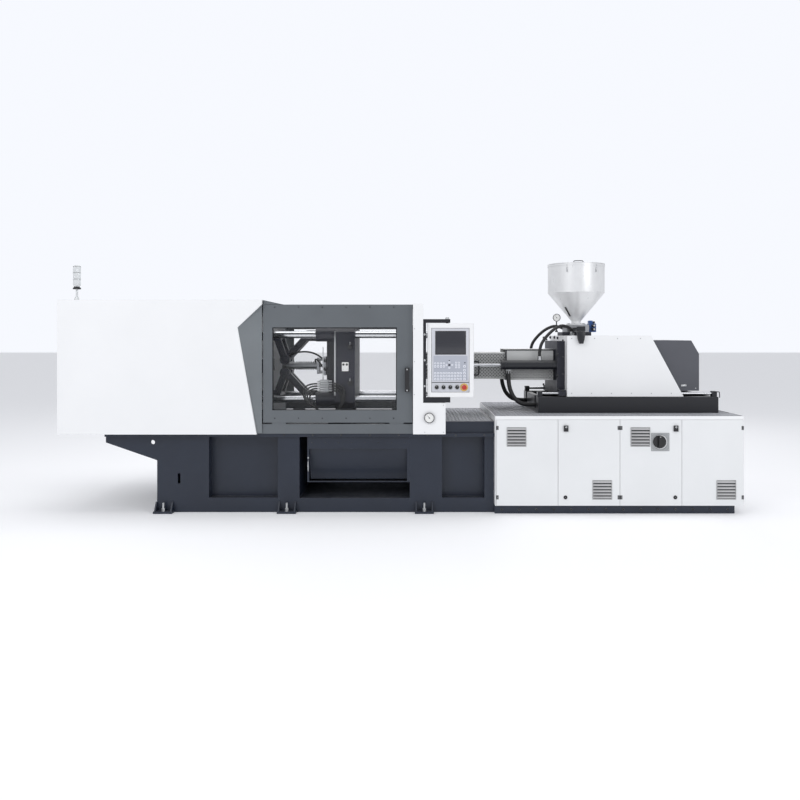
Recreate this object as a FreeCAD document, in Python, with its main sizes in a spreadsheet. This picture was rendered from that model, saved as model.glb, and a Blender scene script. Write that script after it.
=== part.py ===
"""Injection moulding machine: toggle clamp on the left, plasticising unit on the right.

Millimetres.  X runs along the machine towards the injection end, -Y is the operator's side,
Z is up.  The origin is on the floor in the middle of the machine.
"""
import FreeCAD, Part
import math
import os
import re
import Sketcher
from FreeCAD import Placement, Rotation, Vector

doc = FreeCAD.newDocument("InjectionMouldingMachine")
sheet = doc.addObject("Spreadsheet::Sheet", "sizes")
corner = doc.addObject("Spreadsheet::Sheet", "corner")

SIZES = {
    # whole machine
    "end_x": 2920.0, "cover_y": 680.0, "sheet_wall": 3.0, "seat_gap": 0.3, "run_fit": 0.05,
    "axis_z": 1240.0,
    # clamp bed
    "bed_left": 2098.0, "bed_right": 806.0, "bed_y": 590.0, "bed_top": 682.0, "flange_t": 29.0,
    "flange_y": 620.0, "bed_wall": 12.0, "tail_left": 2540.0, "tail_low": 600.0,
    "tail_drop": 447.0, "tail_plate": 20.0, "eye_x": 2136.0, "eye_z": 602.0, "eye_r": 19.0,
    "recess_depth": 100.0, "recess_low": 124.0, "recess_high": 650.0,
    "recess_a_left": 1651.0, "recess_a_right": 1058.0,
    "recess_b_left": 357.0, "recess_b_right": 724.0,
    "outlet_left": 871.0, "outlet_right": 80.0, "outlet_low": 121.0,
    "drop_left": 700.0, "drop_right": 20.0, "drop_y": 200.0,
    "slot_x": 1909.0, "slot_w": 24.0, "slot_low": 246.0, "slot_high": 335.0,
    "step_left": 384.0, "step_top": 780.0,
    # feet
    "foot_w": 162.0, "foot_y": 662.0, "foot_t": 18.0, "gusset_top": 91.0, "gusset_t": 12.0,
    "foot_bolt_r": 11.0, "foot_bolt_y": 632.0,
    "foot_a": 2031.0, "foot_b": 974.0, "foot_c": 204.0,
    # injection bed and cabinet
    "plinth_top": 73.0, "plinth_right": 2858.0, "plinth_y": 640.0, "plinth_wall": 60.0,
    "plinth_top_t": 8.0, "beam_in": 330.0, "beam_out": 410.0, "beam_low": 753.0,
    "deck_under": 833.0, "deck_t": 5.0, "post_w": 80.0,
    "cabinet_right": 2920.0, "first_door": 814.0, "door_pitch": 526.5, "door_top": 807.0,
    "cabinet_depth": 260.0, "divider_w": 20.0, "left_wall": 6.0,
    "door_t": 18.0, "door_sheet": 2.0, "door_play": 1.5, "door_floor": 75.0,
    "latch_a_x": 1407.0, "latch_b_x": 2341.0, "latch_z": 732.0, "latch_w": 37.0,
    "latch_tall": 50.0, "latch_out": 14.0, "latch_shaft_r": 6.0, "cam_long": 26.0,
    "switch_x": 2202.0, "switch_z": 619.0, "switch_r": 54.0, "switch_out": 34.0,
    # platens and tie bars
    "platen_half": 375.0, "platen_chamfer": 60.0, "fixed_t": 180.0, "bar_off": 290.0,
    "bar_r": 32.5, "bar_fit": 0.08, "bar_left": 1640.0, "bar_right": 240.0, "nut_r": 58.0,
    "locate_r": 62.5, "locate_deep": 40.0, "nozzle_way_r": 45.0,
    "bolt_long": 210.0, "bolt_short": 70.0, "bolt_r": 8.0, "bolt_deep": 40.0,
    "leg_in": 250.0, "leg_out": 330.0, "moving_back": 584.0, "moving_face": 408.0,
    "bush_r": 62.0, "bush_back": 760.0, "rib_back": 674.0, "rib_in": 180.0, "rib_out": 210.0,
    "rib_half": 300.0, "tail_back": 1560.0, "tail_face": 1400.0, "tail_bore_r": 60.0,
    # toggle: pins on the moving platen, at the knee and on the tail platen
    "front_pin_x": 865.0, "pin_off": 280.0, "knee_x": 1070.0, "knee_off": 60.0,
    "rear_pin_x": 1149.72, "pin_r": 25.0, "eye_ring_r": 45.0, "ear_r": 50.0, "ear_y": 38.0,
    "front_link_in": 40.0, "front_link_out": 90.0, "rear_link_in": 90.3, "rear_link_out": 140.0,
    "rear_ear_y": 88.0, "link_half": 30.0, "leg_gap": 0.3,
    # clamp cylinder and crosshead
    "ram_r": 130.0, "ram_end": 2100.0, "ram_flange_r": 180.0, "ram_flange_t": 40.0,
    "ram_bore_r": 80.0, "ram_cap": 30.0, "ram_rod_r": 35.0, "piston_back": 1900.0,
    "piston_t": 40.0, "head_left": 1300.0, "head_right": 1220.0, "head_y": 200.0, "head_z": 60.0,
    # ejector
    "push_left": 1110.0, "push_right": 760.0, "push_r": 30.0, "push_fin_r": 36.0,
    "push_flange": 75.0, "push_flange_t": 20.0, "stay_off": 60.0, "stay_r": 12.0,
    "push_rod_r": 14.0, "push_plate_left": 720.0, "push_plate_t": 30.0, "push_plate_y": 150.0,
    "push_plate_z": 85.0, "pusher_off": 120.0, "pusher_r": 12.0, "pusher_end": 420.0,
    # clamp covers
    "hood_top": 1826.0, "hood_low": 680.0, "cover_pan": 30.0, "cover_right": 1178.0,
    "wedge_foot_x": 1224.0, "wedge_knee_x": 1385.0, "wedge_knee_z": 1591.0,
    "wedge_tip_x": 1180.0, "wedge_tip_z": 1787.0, "wedge_in_x": 1184.0, "wedge_low": 689.0,
    "wedge_back": 650.0, "wedge_t": 4.0, "lip_bite": 30.0, "lip_right": 2262.0,
    # sliding gates
    "gate_y": 640.0, "gate_t": 40.0, "gate_left": 1176.0, "gate_right": 102.0,
    "gate_low": 777.0, "gate_high": 1787.0, "window_left": 1098.0, "window_right": 32.0,
    "window_low": 882.0, "window_high": 1592.0, "window_return": 28.0, "pane_t": 8.0,
    "pane_lap": 3.0, "shoe_w": 120.0, "shoe_inset": 76.0,
    "rail_left": 2250.0, "rail_high": 764.0, "header_left": 2300.0, "header_low": 1750.0,
    "header_high": 1789.0, "header_in": 540.0, "fairing_right": 1008.0,
    "handle_x": 56.0, "handle_w": 37.0, "handle_low": 1043.0, "handle_high": 1247.0,
    "handle_out": 52.0, "handle_bar": 24.0, "handle_foot": 28.0, "rear_handle_y": 725.0,
    # operator's column, bracket and panel
    "column_left": 107.0, "column_right": 193.0, "column_top": 1794.0, "column_in": 560.0,
    "box_right": 384.0, "box_top": 949.0,
    "bracket_right": 219.0, "bracket_low": 951.0, "bracket_top": 1662.0, "bracket_out": 665.0,
    "bracket_in": 625.0, "arm_right": 425.0, "swivel_x": 400.0, "swivel_r": 12.0,
    "swivel_deep": 20.0, "arm_gap": 4.0,
    "panel_left": 231.0, "panel_right": 624.0, "panel_low": 1000.0, "panel_high": 1626.0,
    "panel_front": 690.0, "panel_back": 600.0, "panel_bevel": 22.0, "panel_wall": 3.0,
    "cable_slot_w": 60.0, "cable_slot_t": 24.0,
    "knob_x": 308.0, "knob_pitch": 57.7, "knob_z": 1083.0, "knob_r": 16.0, "knob_out": 20.0,
    "knob_skirt": 6.0, "knob_grip": 9.0, "knob_shaft_r": 5.0, "knob_deep": 14.0,
    "stop_x": 540.0, "stop_r": 21.0, "stop_out": 35.0, "stop_cap": 14.0, "stop_stem_r": 11.0,
    # warning beacon
    "beacon_x": 2785.0, "beacon_y": 600.0, "beacon_base_r": 22.0, "beacon_base_t": 30.0,
    "beacon_neck_r": 9.0, "beacon_lens_low": 1945.0, "beacon_top": 2125.0, "beacon_lens_r": 31.0,
    # outlet guard
    "guard_left": 803.0, "guard_right": 79.7, "guard_low": 259.0, "guard_high": 649.0,
    "guard_front": 590.5, "guard_t": 30.0, "mouth_left": 788.0, "mouth_right": 56.0,
    "mouth_low": 266.0, "mouth_high": 547.0, "chute_back": 470.0, "chute_t": 4.0,
    # injection base and the rods it carries
    "base_left": 1219.0, "base_right": 2815.0, "base_y": 410.0, "base_top": 978.0,
    "base_wall": 80.0, "base_end": 42.0, "guide_y": 355.0, "guide_z": 1006.0, "guide_r": 12.0,
    "post_half": 24.0, "post_top": 1026.0, "port_y": 250.0, "port_z": 898.0, "port_r": 34.0,
    "pull_y": 250.0, "pull_z": 1256.0, "pull_rod_r": 11.0, "pull_rod_end": 1200.0,
    "pull_piston_t": 25.0,
    # carriage
    "plate_left": 1408.0, "plate_right": 1495.0, "plate_y": 300.0, "plate_low": 990.0,
    "plate_high": 1472.0, "shoe_low": 984.0, "shoe_high": 1036.0, "shoe_out": 385.0,
    "shoe_right": 1470.0, "throat_x": 1645.0, "throat_r": 40.0, "throat_left": 1538.0,
    "throat_right": 1743.0, "throat_y": 103.0, "throat_low": 1110.0, "throat_high": 1554.0,
    "back_left": 2400.0, "back_right": 2460.0, "back_high": 1440.0, "floor_t": 26.0,
    "floor_y": 250.0, "screw_guide_y": 200.0, "screw_guide_r": 25.0,
    "barrel_r": 75.0, "barrel_fit": 0.05, "barrel_left": 480.0, "barrel_right": 1743.0,
    "head_cone": 300.0, "nozzle_r": 30.0, "nozzle_tip": 45.0, "tip_long": 30.0, "tip_r": 12.0,
    "tip_bore_r": 4.0, "bore_r": 25.0, "bore_left": 310.0, "screw_end": 1735.0,
    "screw_core_r": 22.0, "screw_tip_gap": 2.0, "screw_tip_long": 25.0,
    "shaft_r": 20.0, "shaft_end": 2000.0, "thrust_left": 1960.0, "thrust_t": 80.0,
    "thrust_y": 250.0, "thrust_half": 160.0, "drive_r": 95.0, "drive_end": 2200.0,
    "barrel_guard_left": 956.0, "barrel_guard_y": 185.0, "barrel_guard_low": 1115.0,
    "barrel_guard_high": 1397.0,
    "nozzle_guard_right": 1215.0, "nozzle_guard_y": 165.0, "nozzle_guard_low": 1124.0,
    "nozzle_guard_high": 1367.0,
    "pull_left": 905.0, "pull_r": 42.0, "pull_bore_r": 34.0, "gland_t": 20.0,
    # covers of the injection unit
    "unit_left": 1477.0, "unit_low": 980.0, "unit_top": 1521.0, "unit_top_right": 2219.0,
    "unit_low_right": 2510.0, "unit_y": 400.0, "hatch_play": 3.0,
    "motor_top": 1478.0, "motor_low": 1028.0, "motor_top_right": 2600.0, "motor_right": 2670.0,
    "motor_shoulder": 1358.0, "motor_y": 340.0, "motor_gap": 1.0,
    # feed block and hopper
    "feed_top": 1622.0, "slide_low": 1584.0, "slide_t": 8.0, "slide_half": 55.0,
    "slide_back": 55.0, "slide_front": 112.0, "grip_out": 132.0, "grip_half": 37.0,
    "grip_drop": 20.0,
    "hopper_r": 260.0, "hopper_rim": 2182.0, "hopper_shoulder": 1920.0, "hopper_neck": 1656.0,
    "hopper_wall": 3.0, "hopper_flange_r": 90.0, "hopper_flange_t": 10.0,
    "lid_r": 264.0, "lid_rim_t": 6.0, "lid_top": 2200.0, "lid_flat_r": 60.0,
    # hoses and drive
    "hose_r": 14.0, "lower_hose_r": 19.0,
    "motor_drive_r": 140.0, "motor_drive_z": 330.0, "motor_drive_left": 1000.0,
    "motor_drive_right": 1480.0, "pump_right": 1700.0, "pump_half": 90.0, "motor_foot_y": 130.0,
}

for row, (alias, number) in enumerate(SIZES.items(), 1):
    sheet.set("A%d" % row, alias)
    sheet.set("B%d" % row, repr(number))
    sheet.setAlias("B%d" % row, alias)
doc.recompute()

PLANE_ROLE = {"xy": "XY_Plane", "xz": "XZ_Plane", "yz": "YZ_Plane"}
NODES = []


# ---------------------------------------------------------------- small helpers

def bound(text):
    """Write the sheet's name in front of every word that is one of its aliases."""
    return re.sub(r"[a-z_]+", lambda found: "sizes." + found.group()
                  if found.group() in SIZES else found.group(), str(text))


def bind(thing, **expressions):
    for name, text in expressions.items():
        thing.setExpression(name.replace("__", "."), bound(text))
    return thing


def place(thing, x="0", y="0", z="0"):
    return bind(thing, Placement__Base__x=x, Placement__Base__y=y, Placement__Base__z=z)


def block(name, x, y, z):
    """A box between the lowest and highest x, y and z."""
    thing = doc.addObject("Part::Box", name)
    bind(thing, Length="(%s) - (%s)" % (x[1], x[0]), Width="(%s) - (%s)" % (y[1], y[0]),
         Height="(%s) - (%s)" % (z[1], z[0]))
    return place(thing, x[0], y[0], z[0])


TURN = {"x": Rotation(Vector(0, 1, 0), 90), "y": Rotation(Vector(1, 0, 0), -90),
        "z": Rotation()}


def along(thing, axis, start, across):
    """Stand a round primitive on its axis; across holds its other two coordinates, in order."""
    thing.Placement = Placement(Vector(), TURN[axis])
    where = list(across)
    where.insert("xyz".index(axis), start)
    return place(thing, *where)


def rod(name, axis, span, across, radius):
    thing = doc.addObject("Part::Cylinder", name)
    bind(thing, Radius=radius, Height="(%s) - (%s)" % (span[1], span[0]))
    return along(thing, axis, span[0], across)


def cone(name, axis, span, across, radii):
    thing = doc.addObject("Part::Cone", name)
    bind(thing, Radius1=radii[0], Radius2=radii[1], Height="(%s) - (%s)" % (span[1], span[0]))
    return along(thing, axis, span[0], across)


def join(name, *parts):
    thing = doc.addObject("Part::MultiFuse", name)
    thing.Shapes = list(parts)
    return thing


def cut(name, base, *tools):
    thing = doc.addObject("Part::Cut", name)
    thing.Base = base
    thing.Tool = tools[0] if len(tools) == 1 else join(name + "_tools", *tools)
    return thing


def several(name, *parts):
    """Separate solids that belong together."""
    thing = doc.addObject("Part::Compound", name)
    thing.Links = list(parts)
    return thing


def mirrored(name, source, normal=Vector(0, 1, 0), height="0"):
    thing = doc.addObject("Part::Mirroring", name)
    thing.Source = source
    thing.Normal = normal
    bind(thing, Base__z=height)
    return thing


def sketch_loop(sketch, points, numbers):
    """Add a closed outline whose corners are tied to the sheet."""
    first = sketch.GeometryCount
    count = len(points)
    for i in range(count):
        start = Vector(*numbers[i], 0)
        end = Vector(*numbers[(i + 1) % count], 0)
        sketch.addGeometry(Part.LineSegment(start, end), False)
    for i in range(count):
        after = first + (i + 1) % count
        sketch.addConstraint(Sketcher.Constraint("Coincident", first + i, 2, after, 1))
    for i, (across, up) in enumerate(points):
        for kind, text, number in (("DistanceX", across, numbers[i][0]),
                                   ("DistanceY", up, numbers[i][1])):
            link = Sketcher.Constraint(kind, -1, 1, first + i, 1, number)
            index = sketch.addConstraint(link)
            sketch.setExpression("Constraints[%d]" % index, bound(text))


def numbers_of(points):
    """Corner positions for a sketch's first shape, before its expressions take over."""
    result = []
    for across, up in points:
        pair = []
        for text in (across, up):
            corner.set("A1", "=" + bound(text))
            corner.recompute()
            pair.append(float(corner.get("A1")))
        result.append(tuple(pair))
    return result


def outline(name, plane, points, span, holes=()):
    """A PartDesign body: a straight-sided outline padded from span[0] to span[1]."""
    body = doc.addObject("PartDesign::Body", name)
    sketch = body.newObject("Sketcher::SketchObject", name + "_outline")
    role = PLANE_ROLE[plane]
    origin_plane = [item for item in body.Origin.OriginFeatures if item.Role == role][0]
    sketch.AttachmentSupport = [(origin_plane, "")]
    sketch.MapMode = "FlatFace"
    for loop in (points,) + tuple(holes):
        sketch_loop(sketch, loop, numbers_of(loop))
    # the XZ plane looks along -Y, so there the pad starts at the far side
    start = "-(%s)" % span[1] if plane == "xz" else span[0]
    sketch.setExpression("AttachmentOffset.Base.z", bound(start))
    pad = body.newObject("PartDesign::Pad", name + "_pad")
    pad.Profile = sketch
    bind(pad, Length="(%s) - (%s)" % (span[1], span[0]))
    doc.recompute()
    return body


def hollow(body, wall, opened):
    """Turn a padded body into sheet metal: opened picks the faces that are left out."""
    tip = body.Tip
    faces = [i for i, face in enumerate(tip.Shape.Faces, 1) if opened(face)]
    shell = body.newObject("PartDesign::Thickness", body.Name + "_wall")
    shell.Base = (tip, ["Face%d" % i for i in faces])
    bind(shell, Value=wall)
    shell.Mode = 0
    shell.Join = 1
    shell.Reversed = 1
    doc.recompute()
    return body


def faces_towards(*directions):
    """Test for flat faces whose outward normal is one of the directions."""
    def opened(face):
        normal = face.normalAt(0, 0)
        return any(normal.dot(Vector(*way)) > 0.99 for way in directions)
    return opened


def turned(name, profile, x, y):
    """A PartDesign body: a profile of (radius, height) corners turned about an upright axis."""
    body = doc.addObject("PartDesign::Body", name)
    sketch = body.newObject("Sketcher::SketchObject", name + "_profile")
    upright = [item for item in body.Origin.OriginFeatures if item.Role == "XZ_Plane"][0]
    sketch.AttachmentSupport = [(upright, "")]
    sketch.MapMode = "FlatFace"
    sketch_loop(sketch, profile, numbers_of(profile))
    spun = body.newObject("PartDesign::Revolution", name + "_turned")
    spun.Profile = sketch
    spun.ReferenceAxis = (sketch, ["V_Axis"])
    spun.Angle = 360
    doc.recompute()
    return place(body, x, y, "0")


def softened(name, base, radius, wanted):
    """Round the edges that wanted picks."""
    doc.recompute()
    thing = doc.addObject("Part::Fillet", name)
    thing.Base = base
    size = SIZES.get(radius, radius)
    thing.Edges = [(i, size, size) for i, edge in enumerate(base.Shape.Edges, 1) if wanted(edge)]
    return thing


def node(name, thing):
    """Name a finished sub-part; its label names its file."""
    thing.Label = name
    NODES.append(thing)
    return thing


def both(low, high):
    """A stretch and its mirror image, as two pairs."""
    return ((low, high), ("-(%s)" % high, "-(%s)" % low))


# ---------------------------------------------------------------- frame: beds, feet, decks

def clamp_bed():
    """Welded bed under the clamp, open to the floor, with the outlet bay through its front."""
    under = "bed_top - flange_t"
    body = block("bed_box", ("-bed_left", "bed_right"), ("-bed_y", "bed_y"), ("0", under))
    flange = block("bed_flange", ("-tail_left", "bed_right"), ("-flange_y", "flange_y"),
                   (under, "bed_top"))
    step = block("bed_step", ("step_left", "bed_right"), ("-bed_y", "bed_y"),
                 ("bed_top", "step_top"))
    plate = outline("tail_cheek", "xz", [("-tail_left", "tail_low"), ("-bed_left", "tail_drop"),
                                         ("-bed_left", under), ("-tail_left", under)],
                    ("bed_y - tail_plate", "bed_y"))
    eye = rod("tail_eye", "y", ("bed_y - tail_plate - 1", "bed_y + 1"), ("-eye_x", "eye_z"),
              "eye_r")
    cheek = cut("tail_cheek_drilled", plate, eye)
    far_cheek = mirrored("tail_cheek_far", cheek)
    inside_y = "bed_y - recess_depth - bed_wall"
    roof = under + " - bed_wall"
    left_well = block("left_well", ("-bed_left + bed_wall", "-outlet_left - bed_wall"),
                      ("-(%s)" % inside_y, inside_y), ("-1", roof))
    right_well = block("right_well", ("outlet_right + bed_wall", "bed_right - bed_wall"),
                       ("-(%s)" % inside_y, inside_y), ("-1", roof))
    step_well = block("step_well", ("step_left + bed_wall", "bed_right - bed_wall"),
                      ("-(%s)" % inside_y, inside_y), (roof + " - 1", "step_top - bed_wall"))
    bay = block("outlet_bay", ("-outlet_left", "outlet_right"), ("-bed_y - 1", "bed_y - bed_wall"),
                ("outlet_low", under))
    drop = block("drop_way", ("-drop_left", "-drop_right"), ("-drop_y", "drop_y"),
                 (under + " - 1", "bed_top + 1"))
    under_bay = block("under_bay", ("-outlet_left", "outlet_right"),
                      ("-(%s)" % inside_y, inside_y), ("-1", "outlet_low - bed_wall"))
    tools = [left_well, right_well, step_well, bay, drop, under_bay]
    for side, (near, far) in enumerate(both("bed_y - recess_depth", "bed_y + 1")):
        for panel, (left, right) in enumerate((("-recess_a_left", "-recess_a_right"),
                                               ("recess_b_left", "recess_b_right"))):
            tools.append(block("recess_%d_%d" % (side, panel), (left, right), (near, far),
                               ("recess_low", "recess_high")))
    tools.append(block("front_slot", ("-slot_x - slot_w / 2", "-slot_x + slot_w / 2"),
                       ("-bed_y - 1", "-(%s) + 1" % inside_y), ("slot_low", "slot_high")))
    welded = join("bed_welded", body, flange, step, cheek, far_cheek)
    return node("clamp_bed", cut("clamp_bed", welded, *tools))


def levelling_feet():
    """Six bolted-down feet, each a plate with two gussets and a hole for its anchor."""
    feet = []
    for spot in "abc":
        middle = "-foot_" + spot if spot != "c" else "foot_c"
        plate = block("foot_plate_" + spot, (middle + " - foot_w / 2", middle + " + foot_w / 2"),
                      ("-foot_y", "-bed_y"), ("0", "foot_t"))
        gussets = []
        for side, sign in (("left", "-"), ("right", "+")):
            low = "%s %s (foot_w / 2 - gusset_t) - gusset_t / 2" % (middle, sign)
            gussets.append(outline("gusset_%s_%s" % (spot, side), "yz",
                                   [("-bed_y", "foot_t"), ("-bed_y", "gusset_top"),
                                    ("-bed_y - gusset_t", "gusset_top"),
                                    ("-foot_y + gusset_t / 2", "foot_t")],
                                   (low, low + " + gusset_t")))
        hole = rod("foot_hole_" + spot, "z", ("-1", "foot_t + 1"), (middle, "-foot_bolt_y"),
                   "foot_bolt_r")
        foot = cut("foot_" + spot, join("foot_welded_" + spot, plate, *gussets), hole)
        feet += [foot, mirrored("foot_far_" + spot, foot)]
    return node("levelling_feet", several("levelling_feet", *feet))


def injection_bed():
    """Plinth, posts and beams that carry the injection base over the cabinet."""
    plinth = cut("plinth",
                 block("plinth_box", ("bed_right", "plinth_right"), ("-plinth_y", "plinth_y"),
                       ("0", "plinth_top")),
                 block("plinth_well", ("bed_right + plinth_wall", "plinth_right - plinth_wall"),
                       ("-plinth_y + plinth_wall", "plinth_y - plinth_wall"),
                       ("-1", "plinth_top - plinth_top_t")))
    parts = [plinth]
    middle = "(base_left + base_right) / 2"
    posts = ("base_left", middle + " - post_w / 2", "base_right - post_w")
    for side, (near, far) in enumerate(both("beam_in", "beam_out")):
        parts.append(block("beam_%d" % side, ("base_left", "base_right"), (near, far),
                           ("beam_low", "deck_under")))
        for i, left in enumerate(posts):
            parts.append(block("post_%d_%d" % (side, i), (left, left + " + post_w"),
                               (near, far), ("plinth_top", "beam_low")))
    return node("injection_bed", join("injection_bed", *parts))


def cabinet_shell():
    """White sheet cabinet round the injection bed, with four bays behind its doors."""
    rail = cut("top_rail",
               block("rail_box", ("bed_right", "cabinet_right"), ("-cover_y", "cover_y"),
                     ("door_top", "deck_under + deck_t")),
               block("rail_well", ("bed_right + sheet_wall", "cabinet_right - sheet_wall"),
                     ("-cover_y + sheet_wall", "cover_y - sheet_wall"),
                     ("door_top - 1", "deck_under + deck_t + 1")))
    front = "-cover_y + door_t + seat_gap"
    inner = "-cover_y + cabinet_depth"
    top = "door_top"
    parts = [
        rail,
        block("left_side", ("bed_right", "bed_right + left_wall"), ("-cover_y", "cover_y"),
              ("plinth_top", top)),
        block("right_side", ("cabinet_right - sheet_wall", "cabinet_right"), (front, "cover_y"),
              ("plinth_top", top)),
        block("far_side", ("bed_right", "cabinet_right"), ("cover_y - sheet_wall", "cover_y"),
              ("plinth_top", top)),
        block("inner_back", ("bed_right", "cabinet_right"), (inner, inner + " + sheet_wall"),
              ("plinth_top", top)),
        block("bay_roof", ("bed_right", "cabinet_right"),
              ("-cover_y + sheet_wall - 1", inner + " + sheet_wall"),
              (top + " - sheet_wall", top)),
        block("bay_floor", ("bed_right", "cabinet_right"), (front, inner),
              ("plinth_top", "plinth_top + sheet_wall / 2")),
    ]
    for i in range(1, 4):
        seam = "first_door + %d * door_pitch" % i
        parts.append(block("divider_%d" % i,
                           (seam + " - divider_w / 2", seam + " + divider_w / 2"),
                           (front, inner), ("plinth_top", top)))
    door_way = block("roof_trim", ("bed_right + left_wall", "cabinet_right + 1"),
                     ("-cover_y - 1", front), ("plinth_top - 1", top))
    return node("cabinet_shell", cut("cabinet_shell", join("cabinet_welded", *parts), door_way))


def deck_plates():
    """Chequered walking plates: a low one at the barrel and one over the cabinet."""
    low = block("low_deck", ("step_left", "bed_right"), ("-bed_y - 10", "bed_y + 10"),
                ("step_top", "step_top + deck_t"))
    inset = "sheet_wall + seat_gap"
    high = block("high_deck", ("bed_right + " + inset, "cabinet_right - (%s)" % inset),
                 ("-cover_y + " + inset, "cover_y - (%s)" % inset),
                 ("deck_under", "deck_under + deck_t"))
    return node("deck_plates", several("deck_plates", low, high))


def pump_motor():
    """Electric motor and pump that stand on the plinth behind the cabinet."""
    centre = ("0", "motor_drive_z")
    case = rod("drive_case", "x", ("motor_drive_left", "motor_drive_right"), centre,
               "motor_drive_r")
    pump = block("drive_pump", ("motor_drive_right", "pump_right"), ("-pump_half", "pump_half"),
                 ("motor_drive_z - pump_half", "motor_drive_z + pump_half"))
    foot = block("drive_foot", ("motor_drive_left + 50", "motor_drive_right - 50"),
                 ("-motor_foot_y", "motor_foot_y"), ("plinth_top", "motor_drive_z - pump_half"))
    return node("pump_motor", join("pump_motor", case, pump, foot))


# ---------------------------------------------------------------- clamp

BAR_SPOTS = [(side, level) for side in ("-", "+") for level in ("-", "+")]


def bar_holes(name, span, radius):
    return [rod("%s_%d" % (name, i), "x", span,
                ("0 %s bar_off" % side, "axis_z %s bar_off" % level), radius)
            for i, (side, level) in enumerate(BAR_SPOTS)]


def platen_slab(name, span):
    """A square plate with its corners cut off, upright across the machine's axis."""
    half, short = "platen_half", "(platen_half - platen_chamfer)"
    corners = [("-" + short, "-" + half), (short, "-" + half), (half, "-" + short),
               (half, short), (short, half), ("-" + short, half), ("-" + half, short),
               ("-" + half, "-" + short)]
    return outline(name, "yz", [(y, "axis_z + (%s)" % z) for y, z in corners], span)


def platen_legs(name, span, low):
    return [block("%s_leg_%d" % (name, i), span, spread, (low, "axis_z - platen_half + 1"))
            for i, spread in enumerate(both("leg_in", "leg_out"))]


def mould_bolt_holes(name, face, inwards):
    """Two rectangles of tapped holes for a mould; inwards is the way into the plate."""
    span = (face + " - bolt_deep", face + " + 1") if inwards < 0 else (face + " - 1",
                                                                      face + " + bolt_deep")
    holes = []
    for wide, high in (("bolt_long", "bolt_short"), ("bolt_short", "bolt_long")):
        for side, level in BAR_SPOTS:
            holes.append(rod("%s_bolt_%d" % (name, len(holes)), "x", span,
                             ("0 %s %s" % (side, wide), "axis_z %s %s" % (level, high)),
                             "bolt_r"))
    return holes


def fixed_platen():
    slab = platen_slab("fixed_slab", ("0", "fixed_t"))
    body = join("fixed_body", slab, *platen_legs("fixed", ("20", "fixed_t - 20"), "bed_top"))
    locate = rod("fixed_locate", "x", ("-1", "locate_deep"), ("0", "axis_z"), "locate_r")
    way = rod("fixed_way", "x", ("0", "fixed_t + 1"), ("0", "axis_z"), "nozzle_way_r")
    holes = bar_holes("fixed_bar_hole", ("-1", "fixed_t + 1"), "bar_r + bar_fit")
    return node("fixed_platen", cut("fixed_platen", body, locate, way, *holes,
                                    *mould_bolt_holes("fixed", "0", 1)))


def tie_bars():
    """Four tie bars and the nuts at both of their ends."""
    parts = bar_holes("tie_bar", ("-bar_left", "bar_right"), "bar_r")
    for end, span in (("right", ("fixed_t", "bar_right - 10")),
                      ("left", ("-bar_left + 10", "-tail_back"))):
        outer = bar_holes("nut_" + end, span, "nut_r")
        inner = bar_holes("nut_hole_" + end, (span[0] + " - 1", span[1] + " + 1"),
                          "bar_r + bar_fit")
        parts += [cut("nut_%s_drilled_%d" % (end, i), solid, hole)
                  for i, (solid, hole) in enumerate(zip(outer, inner))]
    return node("tie_bars", several("tie_bars", *parts))


def pivot_ear(name, pin_x, span, half_y, ring, level):
    """An arm with a round, bored end at a toggle pin."""
    height = "axis_z %s pin_off" % level
    arm = block(name + "_arm", span, ("-" + half_y, half_y),
                ("%s - %s" % (height, ring), "%s + %s" % (height, ring)))
    end = rod(name + "_end", "y", ("-" + half_y, half_y), (pin_x, height), ring)
    hole = rod(name + "_hole", "y", ("-%s - 1" % half_y, half_y + " + 1"), (pin_x, height),
               "pin_r + run_fit")
    return [arm, end], hole


def tail_platen():
    slab = platen_slab("tail_slab", ("-tail_back", "-tail_face"))
    parts = [slab] + platen_legs("tail", ("-tail_back + 20", "-tail_face - 20"), "bed_top")
    holes = bar_holes("tail_bar_hole", ("-tail_back - 1", "-tail_face + 1"), "bar_r + bar_fit")
    holes.append(rod("tail_bore", "x", ("-tail_back - 1", "-tail_face + 1"), ("0", "axis_z"),
                     "tail_bore_r"))
    for i, level in enumerate("-+"):
        ear, hole = pivot_ear("tail_ear_%d" % i, "-rear_pin_x", ("-tail_face - 1", "-rear_pin_x"),
                              "rear_ear_y", "eye_ring_r", level)
        parts += ear
        holes.append(hole)
    return node("tail_platen", cut("tail_platen", join("tail_body", *parts), *holes))


def clamp_cylinder():
    """Hydraulic cylinder behind the tail platen; its rod drives the crosshead."""
    axis = ("0", "axis_z")
    case = rod("ram_case", "x", ("-ram_end", "-tail_back"), axis, "ram_r")
    flange = rod("ram_flange", "x", ("-tail_back - ram_flange_t", "-tail_back"), axis,
                 "ram_flange_r")
    bore = rod("ram_bore", "x", ("-ram_end + ram_cap", "-tail_back - ram_flange_t"), axis,
               "ram_bore_r")
    gland = rod("ram_gland", "x", ("-tail_back - ram_flange_t - 1", "-tail_back + 1"), axis,
                "ram_rod_r + run_fit")
    bar_ways = bar_holes("ram_bar_way", ("-ram_end", "-tail_back + 1"), "nut_r + 5")
    return node("clamp_cylinder", cut("clamp_cylinder", join("ram_body", case, flange), bore,
                                      gland, *bar_ways))


def crosshead():
    """Crosshead block on the clamp cylinder's rod, with the piston at the other end."""
    axis = ("0", "axis_z")
    block_part = block("head_block", ("-head_left", "-head_right"), ("-head_y", "head_y"),
                       ("axis_z - head_z", "axis_z + head_z"))
    shaft = rod("head_rod", "x", ("-piston_back", "-head_left + 1"), axis, "ram_rod_r")
    piston = rod("head_piston", "x", ("-piston_back", "-piston_back + piston_t"), axis,
                 "ram_bore_r - run_fit")
    return node("crosshead", join("crosshead", block_part, shaft, piston))


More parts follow.
